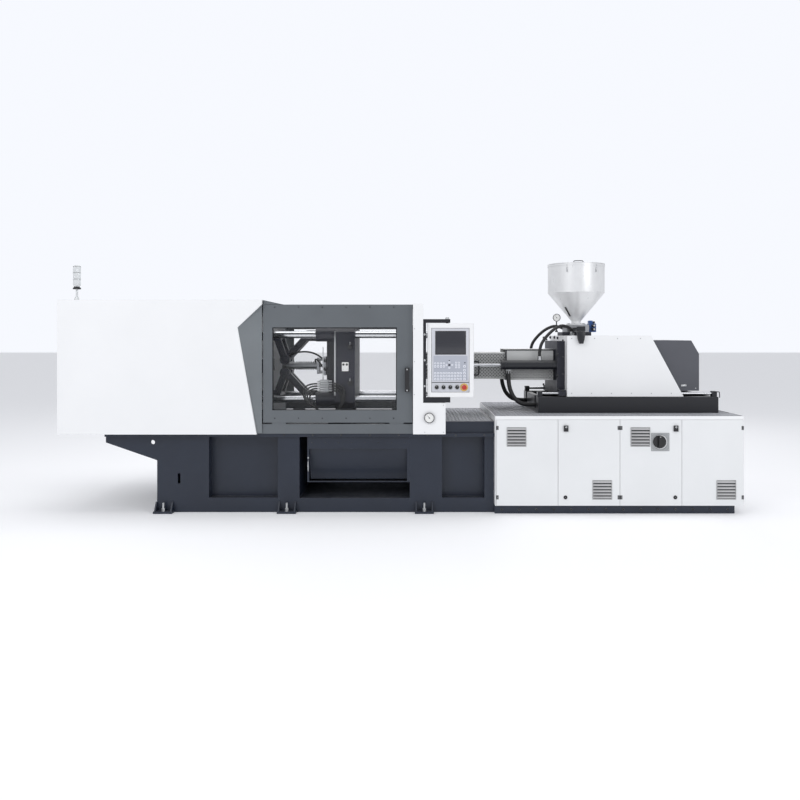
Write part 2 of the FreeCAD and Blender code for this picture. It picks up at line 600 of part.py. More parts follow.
def moving_platen():
    slab = platen_slab("moving_slab", ("-moving_back", "-moving_face"))
    parts = [slab]
    parts += platen_legs("moving", ("-moving_back", "-moving_face - 30"), "bed_top + leg_gap")
    parts += bar_holes("moving_bush", ("-bush_back", "-moving_back + 1"), "bush_r")
    for i, spread in enumerate(both("rib_in", "rib_out")):
        parts.append(block("moving_rib_%d" % i, ("-rib_back", "-moving_back + 1"), spread,
                           ("axis_z - rib_half", "axis_z + rib_half")))
    holes = bar_holes("moving_bar_hole", ("-bush_back - 1", "-moving_face + 1"),
                      "bar_r + bar_fit")
    holes += mould_bolt_holes("moving", "-moving_face", -1)
    for i, side in enumerate("+-"):
        holes.append(rod("pusher_hole_%d" % i, "x", ("-moving_back - 1", "-moving_face + 1"),
                         ("0 %s pusher_off" % side, "axis_z"), "pusher_r + run_fit"))
    for i, level in enumerate("-+"):
        ear, hole = pivot_ear("moving_ear_%d" % i, "-front_pin_x",
                              ("-front_pin_x", "-moving_back + 1"), "ear_y", "ear_r", level)
        parts += ear
        holes.append(hole)
    return node("moving_platen", cut("moving_platen", join("moving_body", *parts), *holes))


STAYS = [("%s stay_off" % side, "axis_z %s stay_off" % level) for side, level in BAR_SPOTS]


def ejector_cylinder():
    """Ribbed cylinder held off the moving platen by four stays."""
    axis = ("0", "axis_z")
    parts = [rod("push_case", "x", ("-push_left", "-push_right"), axis, "push_r"),
             block("push_flange_plate", ("-push_right - push_flange_t", "-push_right"),
                   ("-push_flange", "push_flange"),
                   ("axis_z - push_flange", "axis_z + push_flange"))]
    for i in range(6):
        left = "-push_left + %d * 32" % i
        parts.append(rod("push_fin_%d" % i, "x", (left, left + " + 12"), axis, "push_fin_r"))
    for i, spot in enumerate(STAYS):
        parts.append(rod("push_stay_%d" % i, "x", ("-push_right - 1", "-moving_back"),
                         ("0 " + spot[0], spot[1]), "stay_r"))
    bore = rod("push_bore", "x", ("-push_left + 40", "-push_right + 1"), axis,
               "push_rod_r + run_fit")
    return node("ejector_cylinder", cut("ejector_cylinder", join("push_body", *parts), bore))


def ejector_plate():
    """Plate that carries the pusher rods; it slides on the four stays."""
    right = "-push_plate_left + push_plate_t"
    plate = block("push_plate", ("-push_plate_left", right), ("-push_plate_y", "push_plate_y"),
                  ("axis_z - push_plate_z", "axis_z + push_plate_z"))
    parts = [plate, rod("push_rod", "x", ("-push_left + 160", "-push_plate_left + 1"),
                        ("0", "axis_z"), "push_rod_r")]
    for i, side in enumerate("-+"):
        parts.append(rod("pusher_%d" % i, "x", (right + " - 1", "-pusher_end"),
                         ("0 %s pusher_off" % side, "axis_z"), "pusher_r"))
    holes = [rod("stay_hole_%d" % i, "x", ("-push_plate_left - 1", right + " + 1"),
                 ("0 " + spot[0], spot[1]), "stay_r + run_fit") for i, spot in enumerate(STAYS)]
    return node("ejector_plate", cut("ejector_plate", join("push_moving", *parts), *holes))


def toggle_link(name, pin_x, inner, outer):
    """The upper link from its pin in a platen's ear to the knee: two cheeks and the pin."""
    run = "(%s - knee_x)" % pin_x
    drop = "(pin_off - knee_off)"
    length = "hypot(%s; %s)" % (run, drop)
    parts = []
    for i, spread in enumerate(both(inner, outer)):
        parts += [block("%s_bar_%d" % (name, i), ("0", length), spread,
                        ("-link_half", "link_half")),
                  rod("%s_eye_a_%d" % (name, i), "y", spread, ("0", "0"), "eye_ring_r"),
                  rod("%s_eye_b_%d" % (name, i), "y", spread, (length, "0"), "eye_ring_r")]
    parts.append(rod(name + "_pin", "y", ("-(%s)" % outer, outer), ("0", "0"), "pin_r"))
    link = join(name, *parts)
    link.Placement = Placement(Vector(), Rotation(Vector(0, 1, 0), 0))
    bind(link, Placement__Rotation__Angle="atan2(%s; %s)" % (drop, run))
    return place(link, "-" + pin_x, "0", "axis_z + pin_off")


def toggle():
    """Upper and lower pairs of links; the knee itself is open, cheek beside cheek."""
    for name, pin_x, inner, outer in (
            ("front_link", "front_pin_x", "front_link_in", "front_link_out"),
            ("rear_link", "rear_pin_x", "rear_link_in", "rear_link_out")):
        upper = node(name + "_upper", toggle_link(name + "_upper", pin_x, inner, outer))
        node(name + "_lower", mirrored(name + "_lower", upper, Vector(0, 0, 1), "axis_z"))


# ---------------------------------------------------------------- clamp covers and gates

COVER_EDGE = [("-wedge_foot_x", "hood_low"), ("-wedge_knee_x", "wedge_knee_z"),
              ("-wedge_tip_x", "wedge_tip_z"), ("-cover_right", "hood_top")]


def front_cover():
    """White sheet cover on the operator's side: a shallow pan open to the rear."""
    pan = outline("front_cover", "xz", [("-end_x", "hood_low")] + COVER_EDGE
                  + [("-end_x", "hood_top")], ("-cover_y", "-cover_y + cover_pan"))
    return node("front_cover", hollow(pan, "sheet_wall", faces_towards((0, 1, 0))))


def clamp_hood():
    """Top, end and far side of the clamp's cover, standing on the bed by its lips."""
    near = "-cover_y + cover_pan"
    parts = [
        block("hood_roof", ("-end_x", "-cover_right"), (near, "cover_y"),
              ("hood_top - sheet_wall", "hood_top")),
        block("hood_end", ("-end_x", "-end_x + sheet_wall"), (near, "cover_y"),
              ("hood_low", "hood_top")),
        block("hood_far", ("-end_x", "-cover_right"), ("cover_y - sheet_wall", "cover_y"),
              ("hood_low", "hood_top")),
    ]
    for i, spread in enumerate(both("bed_y - lip_bite", "cover_y - cover_pan")):
        parts.append(block("hood_lip_%d" % i, ("-end_x", "-lip_right"), spread,
                           ("bed_top", "bed_top + sheet_wall")))
    parts.append(block("hood_far_lip", ("-end_x", "-lip_right"),
                       ("cover_y - cover_pan - 1", "cover_y"),
                       ("bed_top", "bed_top + sheet_wall")))
    return node("clamp_hood", join("clamp_hood", *parts))


def gate_wedge():
    """Slanting sheet that leads from the proud cover back to the sliding gate."""
    rise = "(wedge_tip_z - wedge_knee_z) / (wedge_knee_x - wedge_tip_x)"
    prism = outline("wedge_prism", "xz", [("-wedge_foot_x", "wedge_low"),
                                          ("-wedge_knee_x", "wedge_knee_z"),
                                          ("-wedge_in_x", "wedge_knee_z + (wedge_knee_x - wedge_in_x)"
                                           " * " + rise),
                                          ("-wedge_in_x", "wedge_low")],
                    ("-cover_y - 1", "-wedge_back + wedge_t + 1"))
    slab = outline("wedge_slab", "xy", [("-wedge_knee_x - 1", "-cover_y"),
                                        ("-wedge_in_x + 1", "-wedge_back"),
                                        ("-wedge_in_x + 1", "-wedge_back + wedge_t"),
                                        ("-wedge_knee_x - 1", "-cover_y + wedge_t")],
                   ("wedge_low - 10", "wedge_tip_z + 10"))
    common = doc.addObject("Part::Common", "gate_wedge")
    common.Base = prism
    common.Tool = slab
    return node("gate_wedge", common)


def gate_rails():
    """Sill and header rails that the sliding gates run on, on both sides of the clamp."""
    header_front = "-gate_y + gate_t + seat_gap"
    header = block("header", ("-header_left", "column_left"), (header_front, "-header_in"),
                   ("header_low", "header_high"))
    fairing = outline("fairing", "xz", [("-gate_left", "header_high"),
                                        ("-fairing_right", "header_high"),
                                        ("-gate_left", "hood_top")], ("-gate_y", "-header_in"))
    sill = block("sill", ("-rail_left", "column_left"), ("-gate_y + 4", "-gate_y + gate_t"),
                 ("bed_top", "rail_high"))
    front = [join("header_rail", header, fairing), sill]
    far = [mirrored(part.Name + "_far", part) for part in front]
    return node("gate_rails", several("gate_rails", *front, *far))


def gate_leaf(name):
    """A sliding gate's frame of folded sheet, with shoes that slide on the sill."""
    frame = outline(name + "_frame", "xz",
                    [("-gate_left", "gate_low"), ("gate_right", "gate_low"),
                     ("gate_right", "gate_high"), ("-gate_left", "gate_high")],
                    ("-gate_y", "-gate_y + gate_t"),
                    [[("-window_left", "window_low"), ("-window_right", "window_low"),
                      ("-window_right", "window_high"), ("-window_left", "window_high")]])
    hollow(frame, "sheet_wall", faces_towards((0, 1, 0)))
    room = "sheet_wall + pane_lap"
    pane_room = block(name + "_pane_room", ("-window_left - (%s)" % room,
                                            "-window_right + " + room),
                      ("-gate_y + window_return", "-gate_y + gate_t + 1"),
                      ("window_low - (%s)" % room, "window_high + " + room))
    shoes = [block("%s_shoe_%d" % (name, i), span, ("-gate_y + 4", "-gate_y + gate_t"),
                   ("rail_high + seat_gap", "gate_low + 1"))
             for i, span in enumerate((("-gate_left + shoe_inset",
                                        "-gate_left + shoe_inset + shoe_w"),
                                       ("gate_right - shoe_inset - shoe_w",
                                        "gate_right - shoe_inset")))]
    return join(name, cut(name + "_sheet", frame, pane_room), *shoes)


def gate_pane(name):
    lap = "pane_lap"
    return block(name, ("-window_left - " + lap, "-window_right + " + lap),
                 ("-gate_y + window_return", "-gate_y + window_return + pane_t"),
                 ("window_low - " + lap, "window_high + " + lap))


def handle_bow(name, out):
    """A C-shaped pull handle on the gate's right stile."""
    back, front = "-gate_y", "-(%s)" % out
    bow = outline(name + "_bow", "yz",
                  [(back, "handle_low"), (front, "handle_low"), (front, "handle_high"),
                   (back, "handle_high"), (back, "handle_high - handle_foot"),
                   (front + " + handle_bar", "handle_high - handle_foot"),
                   (front + " + handle_bar", "handle_low + handle_foot"),
                   (back, "handle_low + handle_foot")],
                  ("handle_x - handle_w / 2", "handle_x + handle_w / 2"))
    doc.recompute()
    outermost = bow.Shape.BoundBox.YMin + 0.1
    return softened(name, bow, 5.0, lambda edge: edge.BoundBox.YMax < outermost)


def gates():
    node("front_gate", gate_leaf("front_gate"))
    node("front_window", gate_pane("front_window"))
    node("front_handle", handle_bow("front_handle", "gate_y + handle_out"))
    whole = join("rear_gate_near", gate_leaf("rear_gate_leaf"),
                 handle_bow("rear_gate_handle", "rear_handle_y"))
    node("rear_gate", mirrored("rear_gate", whole))
    node("rear_window", mirrored("rear_window", gate_pane("rear_window_near")))


def outlet_guard():
    """Hinged frame in the outlet bay with a sloping chute plate behind its mouth."""
    front, back = "-guard_front", "-guard_front + guard_t"
    frame = outline("guard_frame", "xz",
                    [("-guard_left", "guard_low"), ("guard_right", "guard_low"),
                     ("guard_right", "guard_high"), ("-guard_left", "guard_high")],
                    (front, back),
                    [[("-mouth_left", "mouth_low"), ("mouth_right", "mouth_low"),
                      ("mouth_right", "mouth_high"), ("-mouth_left", "mouth_high")]])
    chute = outline("guard_chute", "yz", [(back + " - 1", "mouth_high"),
                                          ("-chute_back", "mouth_low"),
                                          ("-chute_back + chute_t", "mouth_low"),
                                          (back + " - 1 + chute_t", "mouth_high"),
                                          (back + " - 1 + chute_t", "mouth_high + chute_t"),
                                          (back + " - 1", "mouth_high + chute_t")],
                    ("-mouth_left", "mouth_right"))
    return node("outlet_guard", join("outlet_guard", frame, chute))


# ---------------------------------------------------------------- column, bracket and panel

def column_covers():
    """L-shaped white sheet covers over the ends of the fixed platen, one on each side."""
    pan = outline("column_pan", "xz", [("column_left", "bed_top"), ("box_right", "bed_top"),
                                       ("box_right", "box_top"), ("column_right", "box_top"),
                                       ("column_right", "column_top"),
                                       ("column_left", "column_top")],
                  ("-cover_y", "-column_in"))
    hollow(pan, "sheet_wall", faces_towards((0, 1, 0)))
    return node("column_covers", several("column_covers", pan, mirrored("column_far", pan)))


def panel_bracket():
    """Bracket on the column with the two pins that the panel swivels on."""
    depth = ("-bracket_out", "-bracket_in")
    pin = ("swivel_x", "-(bracket_out + bracket_in) / 2")
    parts = [
        block("bracket_bar", ("column_right", "bracket_right"), depth,
              ("bracket_low", "bracket_top")),
        block("bracket_high_arm", ("column_right", "arm_right"), depth,
              ("panel_high + arm_gap", "bracket_top")),
        block("bracket_low_arm", ("column_right", "arm_right"), depth,
              ("bracket_low", "panel_low - arm_gap")),
        rod("bracket_high_pin", "z", ("panel_high - swivel_deep", "panel_high + arm_gap + 1"),
            pin, "swivel_r"),
        rod("bracket_low_pin", "z", ("panel_low - arm_gap - 1", "panel_low + swivel_deep"),
            pin, "swivel_r"),
    ]
    return node("panel_bracket", join("panel_bracket", *parts))


def knob_spots():
    return [("knob_x + %d * knob_pitch" % i, "knob_z") for i in range(4)]


def panel_housing():
    """Operator's panel: a bevelled sheet box on the bracket's pins, with its controls' holes."""
    left, right, front, back = "panel_left", "panel_right", "-panel_front", "-panel_back"
    outer = outline("panel_outer", "xy", [(left + " + panel_bevel", front),
                                          (right + " - 6", front), (right, front + " + 6"),
                                          (right, back), (left, back),
                                          (left, front + " + panel_bevel")],
                    ("panel_low", "panel_high"))
    wall = "panel_wall"
    inner = outline("panel_inner", "xy",
                    [(left + " + panel_bevel + " + wall, front + " + " + wall),
                     (right + " - 6 - " + wall, front + " + " + wall),
                     (right + " - " + wall, front + " + 6 + " + wall),
                     (right + " - " + wall, back + " - " + wall),
                     (left + " + " + wall, back + " - " + wall),
                     (left + " + " + wall, front + " + panel_bevel + " + wall)],
                    ("panel_low + " + wall, "panel_high - " + wall))
    pin_y = "-(bracket_out + bracket_in) / 2"
    bosses, holes = [], []
    for name, span, hole_span in (
            ("low", ("panel_low + 1", "panel_low + swivel_deep + 6"),
             ("panel_low - 1", "panel_low + swivel_deep + 1")),
            ("high", ("panel_high - swivel_deep - 6", "panel_high - 1"),
             ("panel_high - swivel_deep - 1", "panel_high + 1"))):
        bosses.append(rod("panel_boss_" + name, "z", span, ("swivel_x", pin_y), "swivel_r + 8"))
        holes.append(rod("panel_hole_" + name, "z", hole_span, ("swivel_x", pin_y),
                         "swivel_r + run_fit"))
    for i, (x, z) in enumerate(knob_spots()):
        bosses.append(rod("panel_knob_boss_%d" % i, "y",
                          (front + " + 1", front + " + knob_deep + 2"), (x, z),
                          "knob_shaft_r + 6"))
        holes.append(rod("panel_knob_hole_%d" % i, "y", (front + " - 1",
                                                        front + " + knob_deep"), (x, z),
                         "knob_shaft_r + run_fit"))
    bosses.append(rod("panel_stop_boss", "y", (front + " + 1", front + " + 26"),
                      ("stop_x", "knob_z"), "stop_stem_r + 6"))
    holes.append(rod("panel_stop_hole", "y", (front + " - 1", front + " + 24"),
                     ("stop_x", "knob_z"), "stop_stem_r + run_fit"))
    holes.append(block("panel_cable_slot", ("swivel_x + 40", "swivel_x + 40 + cable_slot_w"),
                       (back + " - panel_wall - cable_slot_t", back + " - panel_wall"),
                       ("panel_low - 1", "panel_low + panel_wall + 1")))
    box = cut("panel_box", outer, inner)
    return node("panel_housing", cut("panel_housing", join("panel_bossed", box, *bosses),
                                     *holes))


def selector_knobs():
    """Four rotary selectors: a skirt, a raised grip bar and a shaft in the panel's boss."""
    front = "-panel_front"
    for i, (x, z) in enumerate(knob_spots()):
        name = "selector_%d" % (i + 1)
        skirt = rod(name + "_skirt", "y", (front + " - knob_skirt", front + " - seat_gap"),
                    (x, z), "knob_r")
        grip = block(name + "_grip", (x + " - knob_grip / 2", x + " + knob_grip / 2"),
                     (front + " - knob_out", front + " - knob_skirt + 1"),
                     (z + " - knob_r + 1", z + " + knob_r - 1"))
        shaft = rod(name + "_shaft", "y", (front + " - 1", front + " + knob_deep - 2"), (x, z),
                    "knob_shaft_r")
        node(name, join(name, skirt, grip, shaft))


def stop_button():
    """Mushroom-headed emergency stop on a sprung stem."""
    front = "-panel_front"
    spot = ("stop_x", "knob_z")
    cap = rod("stop_cap_disc", "y", (front + " - stop_out", front + " - stop_out + stop_cap"),
              spot, "stop_r")
    rounded = softened("stop_cap_round", cap, 5.0,
                       lambda edge: edge.BoundBox.YMax < -SIZES["panel_front"]
                       - SIZES["stop_out"] + 1)
    stem = rod("stop_stem", "y", (front + " - stop_out + stop_cap - 1", front + " + 12"), spot,
               "stop_stem_r")
    return node("stop_button", join("stop_button", rounded, stem))


def warning_beacon():
    """Lamp on a thin neck, standing on the hood."""
    base_top = "hood_top + beacon_base_t"
    profile = [("0", "hood_top"), ("beacon_base_r", "hood_top"),
               ("beacon_base_r", "hood_top + 8"), ("beacon_base_r - 6", base_top),
               ("beacon_neck_r", base_top), ("beacon_neck_r", "beacon_lens_low - 12"),
               ("beacon_lens_r - 6", "beacon_lens_low"), ("beacon_lens_r", "beacon_lens_low + 10"),
               ("beacon_lens_r", "beacon_top - 14"), ("beacon_lens_r - 10", "beacon_top"),
               ("0", "beacon_top")]
    return node("warning_beacon", turned("warning_beacon", profile, "-beacon_x", "-beacon_y"))


# ---------------------------------------------------------------- cabinet doors

def door_span(i):
    left = "first_door + %d * door_pitch + door_play" % i
    right = "first_door + %d * door_pitch - door_play" % (i + 1)
    return left, right


def cabinet_doors():
    """Four sheet-metal doors; the second and third hold the latches and the main switch."""
    latches = {1: "latch_a_x", 2: "latch_b_x"}
    for i in range(4):
        left, right = door_span(i)
        if i == 3:
            right = "cabinet_right"
        top = "door_top - door_play"
        pan = block("door_pan_%d" % i, (left, right), ("-cover_y", "-cover_y + door_t"),
                    ("door_floor", top))
        room = block("door_room_%d" % i, (left + " + door_sheet", right + " - door_sheet"),
                     ("-cover_y + door_sheet", "-cover_y + door_t + 1"),
                     ("door_floor + door_sheet", top + " - door_sheet"))
        tools = [room]
        if i in latches:
            tools.append(rod("latch_hole_%d" % i, "y", ("-cover_y - 1", "-cover_y + door_t"),
                             (latches[i], "latch_z"), "latch_shaft_r + run_fit"))
        if i == 2:
            tools.append(rod("switch_hole", "y", ("-cover_y - 1", "-cover_y + door_t"),
                             ("switch_x", "switch_z"), "latch_shaft_r + run_fit"))
        name = "cabinet_door_%d" % (i + 1)
        node(name, cut(name, pan, *tools))
    for i, x in latches.items():
        name = "door_latch_%d" % (i + 1)
        face = "-cover_y - seat_gap"
        plate = block(name + "_plate", (x + " - latch_w / 2", x + " + latch_w / 2"),
                      (face + " - latch_out", face),
                      ("latch_z - latch_tall / 2", "latch_z + latch_tall / 2"))
        shaft = rod(name + "_shaft", "y", (face + " - 1", "-cover_y + 10"), (x, "latch_z"),
                    "latch_shaft_r")
        cam = block(name + "_cam", (x + " - 8", x + " + 8"), ("-cover_y + 6", "-cover_y + 10"),
                    ("latch_z - 8", "latch_z + cam_long"))
        node(name, join(name, plate, shaft, cam))


def main_switch():
    """Rotary handle of the mains switch on the third door."""
    spot = ("switch_x", "switch_z")
    face = "-cover_y - seat_gap"
    disc = rod("switch_disc", "y", (face + " - 14", face), spot, "switch_r")
    grip = block("switch_grip", ("switch_x - 13", "switch_x + 13"),
                 (face + " - switch_out", face + " - 13"),
                 ("switch_z - switch_r + 4", "switch_z + switch_r - 4"))
    shaft = rod("switch_shaft", "y", (face + " - 1", "-cover_y + 12"), spot, "latch_shaft_r")
    return node("main_switch", join("main_switch", disc, grip, shaft))


# ---------------------------------------------------------------- injection unit

def injection_base():
    """Black cast base ring with end posts that hold the guide bars."""
    parts = [block("base_box", ("base_left", "base_right"), ("-base_y", "base_y"),
                   ("deck_under + deck_t", "base_top"))]
    for i, spread in enumerate(both("guide_y - post_half", "guide_y + post_half")):
        for j, span in enumerate((("base_left", "base_left + base_end"),
                                  ("base_right - base_end", "base_right"))):
            parts.append(block("base_post_%d_%d" % (i, j), span, spread,
                               ("base_top - 1", "post_top")))
    tools = [block("base_well", ("base_left + base_end", "base_right - base_end"),
                   ("-base_y + base_wall", "base_y - base_wall"),
                   ("deck_under + deck_t - 1", "base_top + 1"))]
    for i, side in enumerate("-+"):
        tools.append(rod("guide_hole_%d" % i, "x", ("base_left - 1", "base_right + 1"),
                         ("0 %s guide_y" % side, "guide_z"), "guide_r + run_fit"))
        tools.append(block("port_%d" % i, ("base_left - 1", "base_left + base_end + 1"),
                           ("0 %s port_y - port_r" % side, "0 %s port_y + port_r" % side),
                           ("port_z - port_r", "base_top + 1")))
    return node("injection_base", cut("injection_base", join("base_cast", *parts), *tools))


def carriage_rods():
    """Chromed rods: two guide bars on the base and two pull rods on the fixed platen."""
    parts = []
    for i, side in enumerate("-+"):
        parts.append(rod("guide_bar_%d" % i, "x", ("base_left", "base_right"),
                         ("0 %s guide_y" % side, "guide_z"), "guide_r"))
        spot = ("0 %s pull_y" % side, "pull_z")
        pull = rod("pull_rod_%d" % i, "x", ("fixed_t", "pull_rod_end"), spot, "pull_rod_r")
        piston = rod("pull_piston_%d" % i, "x", ("pull_rod_end - pull_piston_t",
                                                 "pull_rod_end"), spot,
                     "pull_bore_r - run_fit")
        parts.append(join("pull_%d" % i, pull, piston))
    return node("carriage_rods", several("carriage_rods", *parts))


def injection_housing():
    """Carriage casting: front plate, feed throat, floor and back plate, on four shoes."""
    parts = [
        block("front_plate", ("plate_left", "plate_right"), ("-plate_y", "plate_y"),
              ("plate_low", "plate_high")),
        block("throat_block", ("plate_right - 1", "throat_right + 17"),
              ("-throat_y - 12", "throat_y + 12"), ("throat_low", "throat_high")),
        block("carriage_floor", ("plate_right - 1", "back_left + 1"), ("-floor_y", "floor_y"),
              ("plate_low", "plate_low + floor_t")),
        block("back_plate", ("back_left", "back_right"), ("-plate_y", "plate_y"),
              ("plate_low", "back_high")),
    ]
    holes = []
    for i, (near, far) in enumerate(both("plate_y - 10", "shoe_out")):
        for j, span in enumerate((("plate_left", "shoe_right"), ("back_left", "back_right"))):
            parts.append(block("shoe_%d_%d" % (i, j), span, (near, far),
                               ("shoe_low", "shoe_high")))
    for i, side in enumerate("-+"):
        holes.append(rod("shoe_bore_%d" % i, "x", ("plate_left - 1", "back_right + 1"),
                         ("0 %s guide_y" % side, "guide_z"), "guide_r + run_fit"))
        parts.append(rod("screw_guide_%d" % i, "x", ("plate_right - 1", "back_left + 1"),
                         ("0 %s screw_guide_y" % side, "axis_z"), "screw_guide_r"))
    holes.append(rod("barrel_seat", "x", ("plate_left - 1", "barrel_right"), ("0", "axis_z"),
                     "barrel_r + barrel_fit"))
    holes.append(rod("shaft_way", "x", ("barrel_right - 1", "throat_right + 18"),
                     ("0", "axis_z"), "shaft_r + 5"))
    holes.append(rod("feed_throat", "z", ("axis_z", "throat_high + 1"), ("throat_x", "0"),
                     "throat_r"))
    return node("injection_housing", cut("injection_housing", join("carriage_cast", *parts),
                                         *holes))


def barrel():
    """Heated barrel with its tapering head and nozzle, bored for the screw."""
    axis = ("0", "axis_z")
    parts = [
        rod("barrel_tube", "x", ("barrel_left", "barrel_right"), axis, "barrel_r"),
        cone("barrel_head", "x", ("head_cone", "barrel_left + 1"), axis,
             ("nozzle_r + 12", "barrel_r")),
        rod("barrel_nozzle", "x", ("nozzle_tip + tip_long", "head_cone + 1"), axis, "nozzle_r"),
        cone("barrel_tip", "x", ("nozzle_tip", "nozzle_tip + tip_long"), axis,
             ("tip_r", "nozzle_r")),
    ]
    holes = [rod("barrel_bore", "x", ("bore_left", "barrel_right + 1"), axis, "bore_r"),
             rod("tip_bore", "x", ("nozzle_tip - 1", "bore_left + 1"), axis, "tip_bore_r"),
             rod("barrel_feed", "z", ("axis_z", "axis_z + barrel_r + 1"), ("throat_x", "0"),
                 "throat_r")]
    return node("barrel", cut("barrel", join("barrel_solid", *parts), *holes))


def injection_screw():
    """Core of the plasticising screw, without its flights, and its drive shaft."""
    axis = ("0", "axis_z")
    tip_left = "bore_left + screw_tip_gap"
    tip_right = tip_left + " + screw_tip_long"
    parts = [rod("screw_body", "x", (tip_right + " - 1", "screw_end"), axis, "screw_core_r"),
             cone("screw_tip", "x", (tip_left, tip_right), axis, ("tip_bore_r", "screw_core_r")),
             rod("screw_shaft", "x", ("screw_end - 1", "shaft_end"), axis, "shaft_r")]
    return node("injection_screw", join("injection_screw", *parts))


def thrust_plate():
    """Plate that pushes the screw, with the drive that turns it."""
    right = "thrust_left + thrust_t"
    parts = [block("thrust_slab", ("thrust_left", right), ("-thrust_y", "thrust_y"),
                   ("axis_z - thrust_half", "axis_z + thrust_half")),
             rod("screw_drive", "x", (right + " - 1", "drive_end"), ("0", "axis_z"), "drive_r")]
    holes = [rod("thrust_hole_%d" % i, "x", ("thrust_left - 1", right + " + 1"),
                 ("0 %s screw_guide_y" % side, "axis_z"), "screw_guide_r + run_fit")
             for i, side in enumerate("-+")]
    holes.append(rod("shaft_seat", "x", ("thrust_left - 1", "shaft_end + 1"), ("0", "axis_z"),
                     "shaft_r + run_fit"))
    return node("thrust_plate", cut("thrust_plate", join("thrust_body", *parts), *holes))


def barrel_guards():
    """Sheet guard fixed to the carriage, and the nozzle guard that telescopes into it."""
    outer = block("barrel_guard_box", ("barrel_guard_left", "plate_left - seat_gap"),
                  ("-barrel_guard_y", "barrel_guard_y"),
                  ("barrel_guard_low", "barrel_guard_high"))
    inner = block("barrel_guard_room", ("barrel_guard_left - 1", "plate_left + 1"),
                  ("-barrel_guard_y + sheet_wall", "barrel_guard_y - sheet_wall"),
                  ("barrel_guard_low + sheet_wall", "barrel_guard_high - sheet_wall"))
    node("barrel_guard", cut("barrel_guard", outer, inner))
    outer = block("nozzle_guard_box", ("fixed_t + seat_gap", "nozzle_guard_right"),
                  ("-nozzle_guard_y", "nozzle_guard_y"),
                  ("nozzle_guard_low", "nozzle_guard_high"))
    inner = block("nozzle_guard_room", ("fixed_t - 1", "nozzle_guard_right + 1"),
                  ("-nozzle_guard_y + sheet_wall", "nozzle_guard_y - sheet_wall"),
                  ("nozzle_guard_low - 1", "nozzle_guard_high - sheet_wall"))
    node("nozzle_guard", cut("nozzle_guard", outer, inner))


def carriage_cylinders():
    """Two cylinders on the front plate that pull the carriage along their rods."""
    parts = []
    for i, side in enumerate("-+"):
        spot = ("0 %s pull_y" % side, "pull_z")
        case = rod("pull_case_%d" % i, "x", ("pull_left", "plate_left"), spot, "pull_r")
        bore = rod("pull_bore_%d" % i, "x", ("pull_left + gland_t", "plate_left - 13"), spot,
                   "pull_bore_r")
        gland = rod("pull_gland_%d" % i, "x", ("pull_left - 1", "pull_left + gland_t + 1"),
                    spot, "pull_rod_r + run_fit")
        parts.append(cut("pull_cylinder_%d" % i, case, bore, gland))
    return node("carriage_cylinders", several("carriage_cylinders", *parts))


def unit_cover():
    """White cover of the injection unit, open underneath, with a hatch for the feed throat."""
    pan = outline("unit_pan", "xz", [("unit_left", "unit_low"), ("unit_low_right", "unit_low"),
                                     ("unit_top_right", "unit_top"), ("unit_left", "unit_top")],
                  ("-unit_y", "unit_y"))
    hollow(pan, "sheet_wall", faces_towards((0, 0, -1)))
    end_way = block("unit_end_way", ("unit_left - 1", "plate_right"),
                    ("-plate_y - seat_gap", "plate_y + seat_gap"),
                    ("unit_low - 1", "plate_high + seat_gap"))
    drive_way = block("unit_drive_way", ("unit_top_right - 40", "unit_low_right + 10"),
                      ("-plate_y - seat_gap", "plate_y + seat_gap"),
                      ("unit_low - 1", "motor_top - 40"))
    bar_ways = [rod("unit_bar_way_%d" % i, "x", ("unit_left - 1", "unit_low_right + 1"),
                    ("0 %s guide_y" % side, "guide_z"), "guide_r + 4")
                for i, side in enumerate("-+")]
    hatch = block("unit_hatch", ("plate_right - 1 - hatch_play", "throat_right + 17 + hatch_play"),
                  ("-throat_y - 12 - hatch_play", "throat_y + 12 + hatch_play"),
                  ("unit_top - 20", "unit_top + 1"))
    return node("unit_cover", cut("unit_cover", pan, end_way, drive_way, hatch,
                                  *bar_ways))


def motor_cover():
    """Dark cover over the screw drive, set against the slanting end of the white one."""
    slope = "(unit_low_right - unit_top_right) / (unit_top - unit_low)"
    top_left = "unit_top_right + (unit_top - motor_top) * %s + motor_gap" % slope
    low_left = "unit_top_right + (unit_top - motor_low) * %s + motor_gap" % slope
    pan = outline("motor_pan", "xz", [(low_left, "motor_low"), ("motor_right", "motor_low"),
                                      ("motor_right", "motor_shoulder"),
                                      ("motor_top_right", "motor_top"),
                                      (top_left, "motor_top")], ("-motor_y", "motor_y"))
    lean = (SIZES["unit_low_right"] - SIZES["unit_top_right"]) / (SIZES["unit_top"] - SIZES["unit_low"])
    slant = Vector(-1, 0, -lean).normalize()
    hollow(pan, "sheet_wall", faces_towards((0, 0, -1), tuple(slant)))
    return node("motor_cover", pan)


def feed_block():
    """Bright block between throat and hopper, slotted for the shut-off slide."""
    body = block("feed_body", ("throat_left", "throat_right"), ("-throat_y", "throat_y"),
                 ("throat_high", "feed_top"))
    way = rod("feed_way", "z", ("throat_high - 1", "feed_top + 1"), ("throat_x", "0"),
              "throat_r")
    play = "0.1"
    slot = block("feed_slot", ("throat_x - slide_half - " + play,
                               "throat_x + slide_half + " + play),
                 ("-throat_y - 1", "slide_back + 2"),
                 ("slide_low - " + play, "slide_low + slide_t + " + play))
    return node("feed_block", cut("feed_block", body, way, slot))


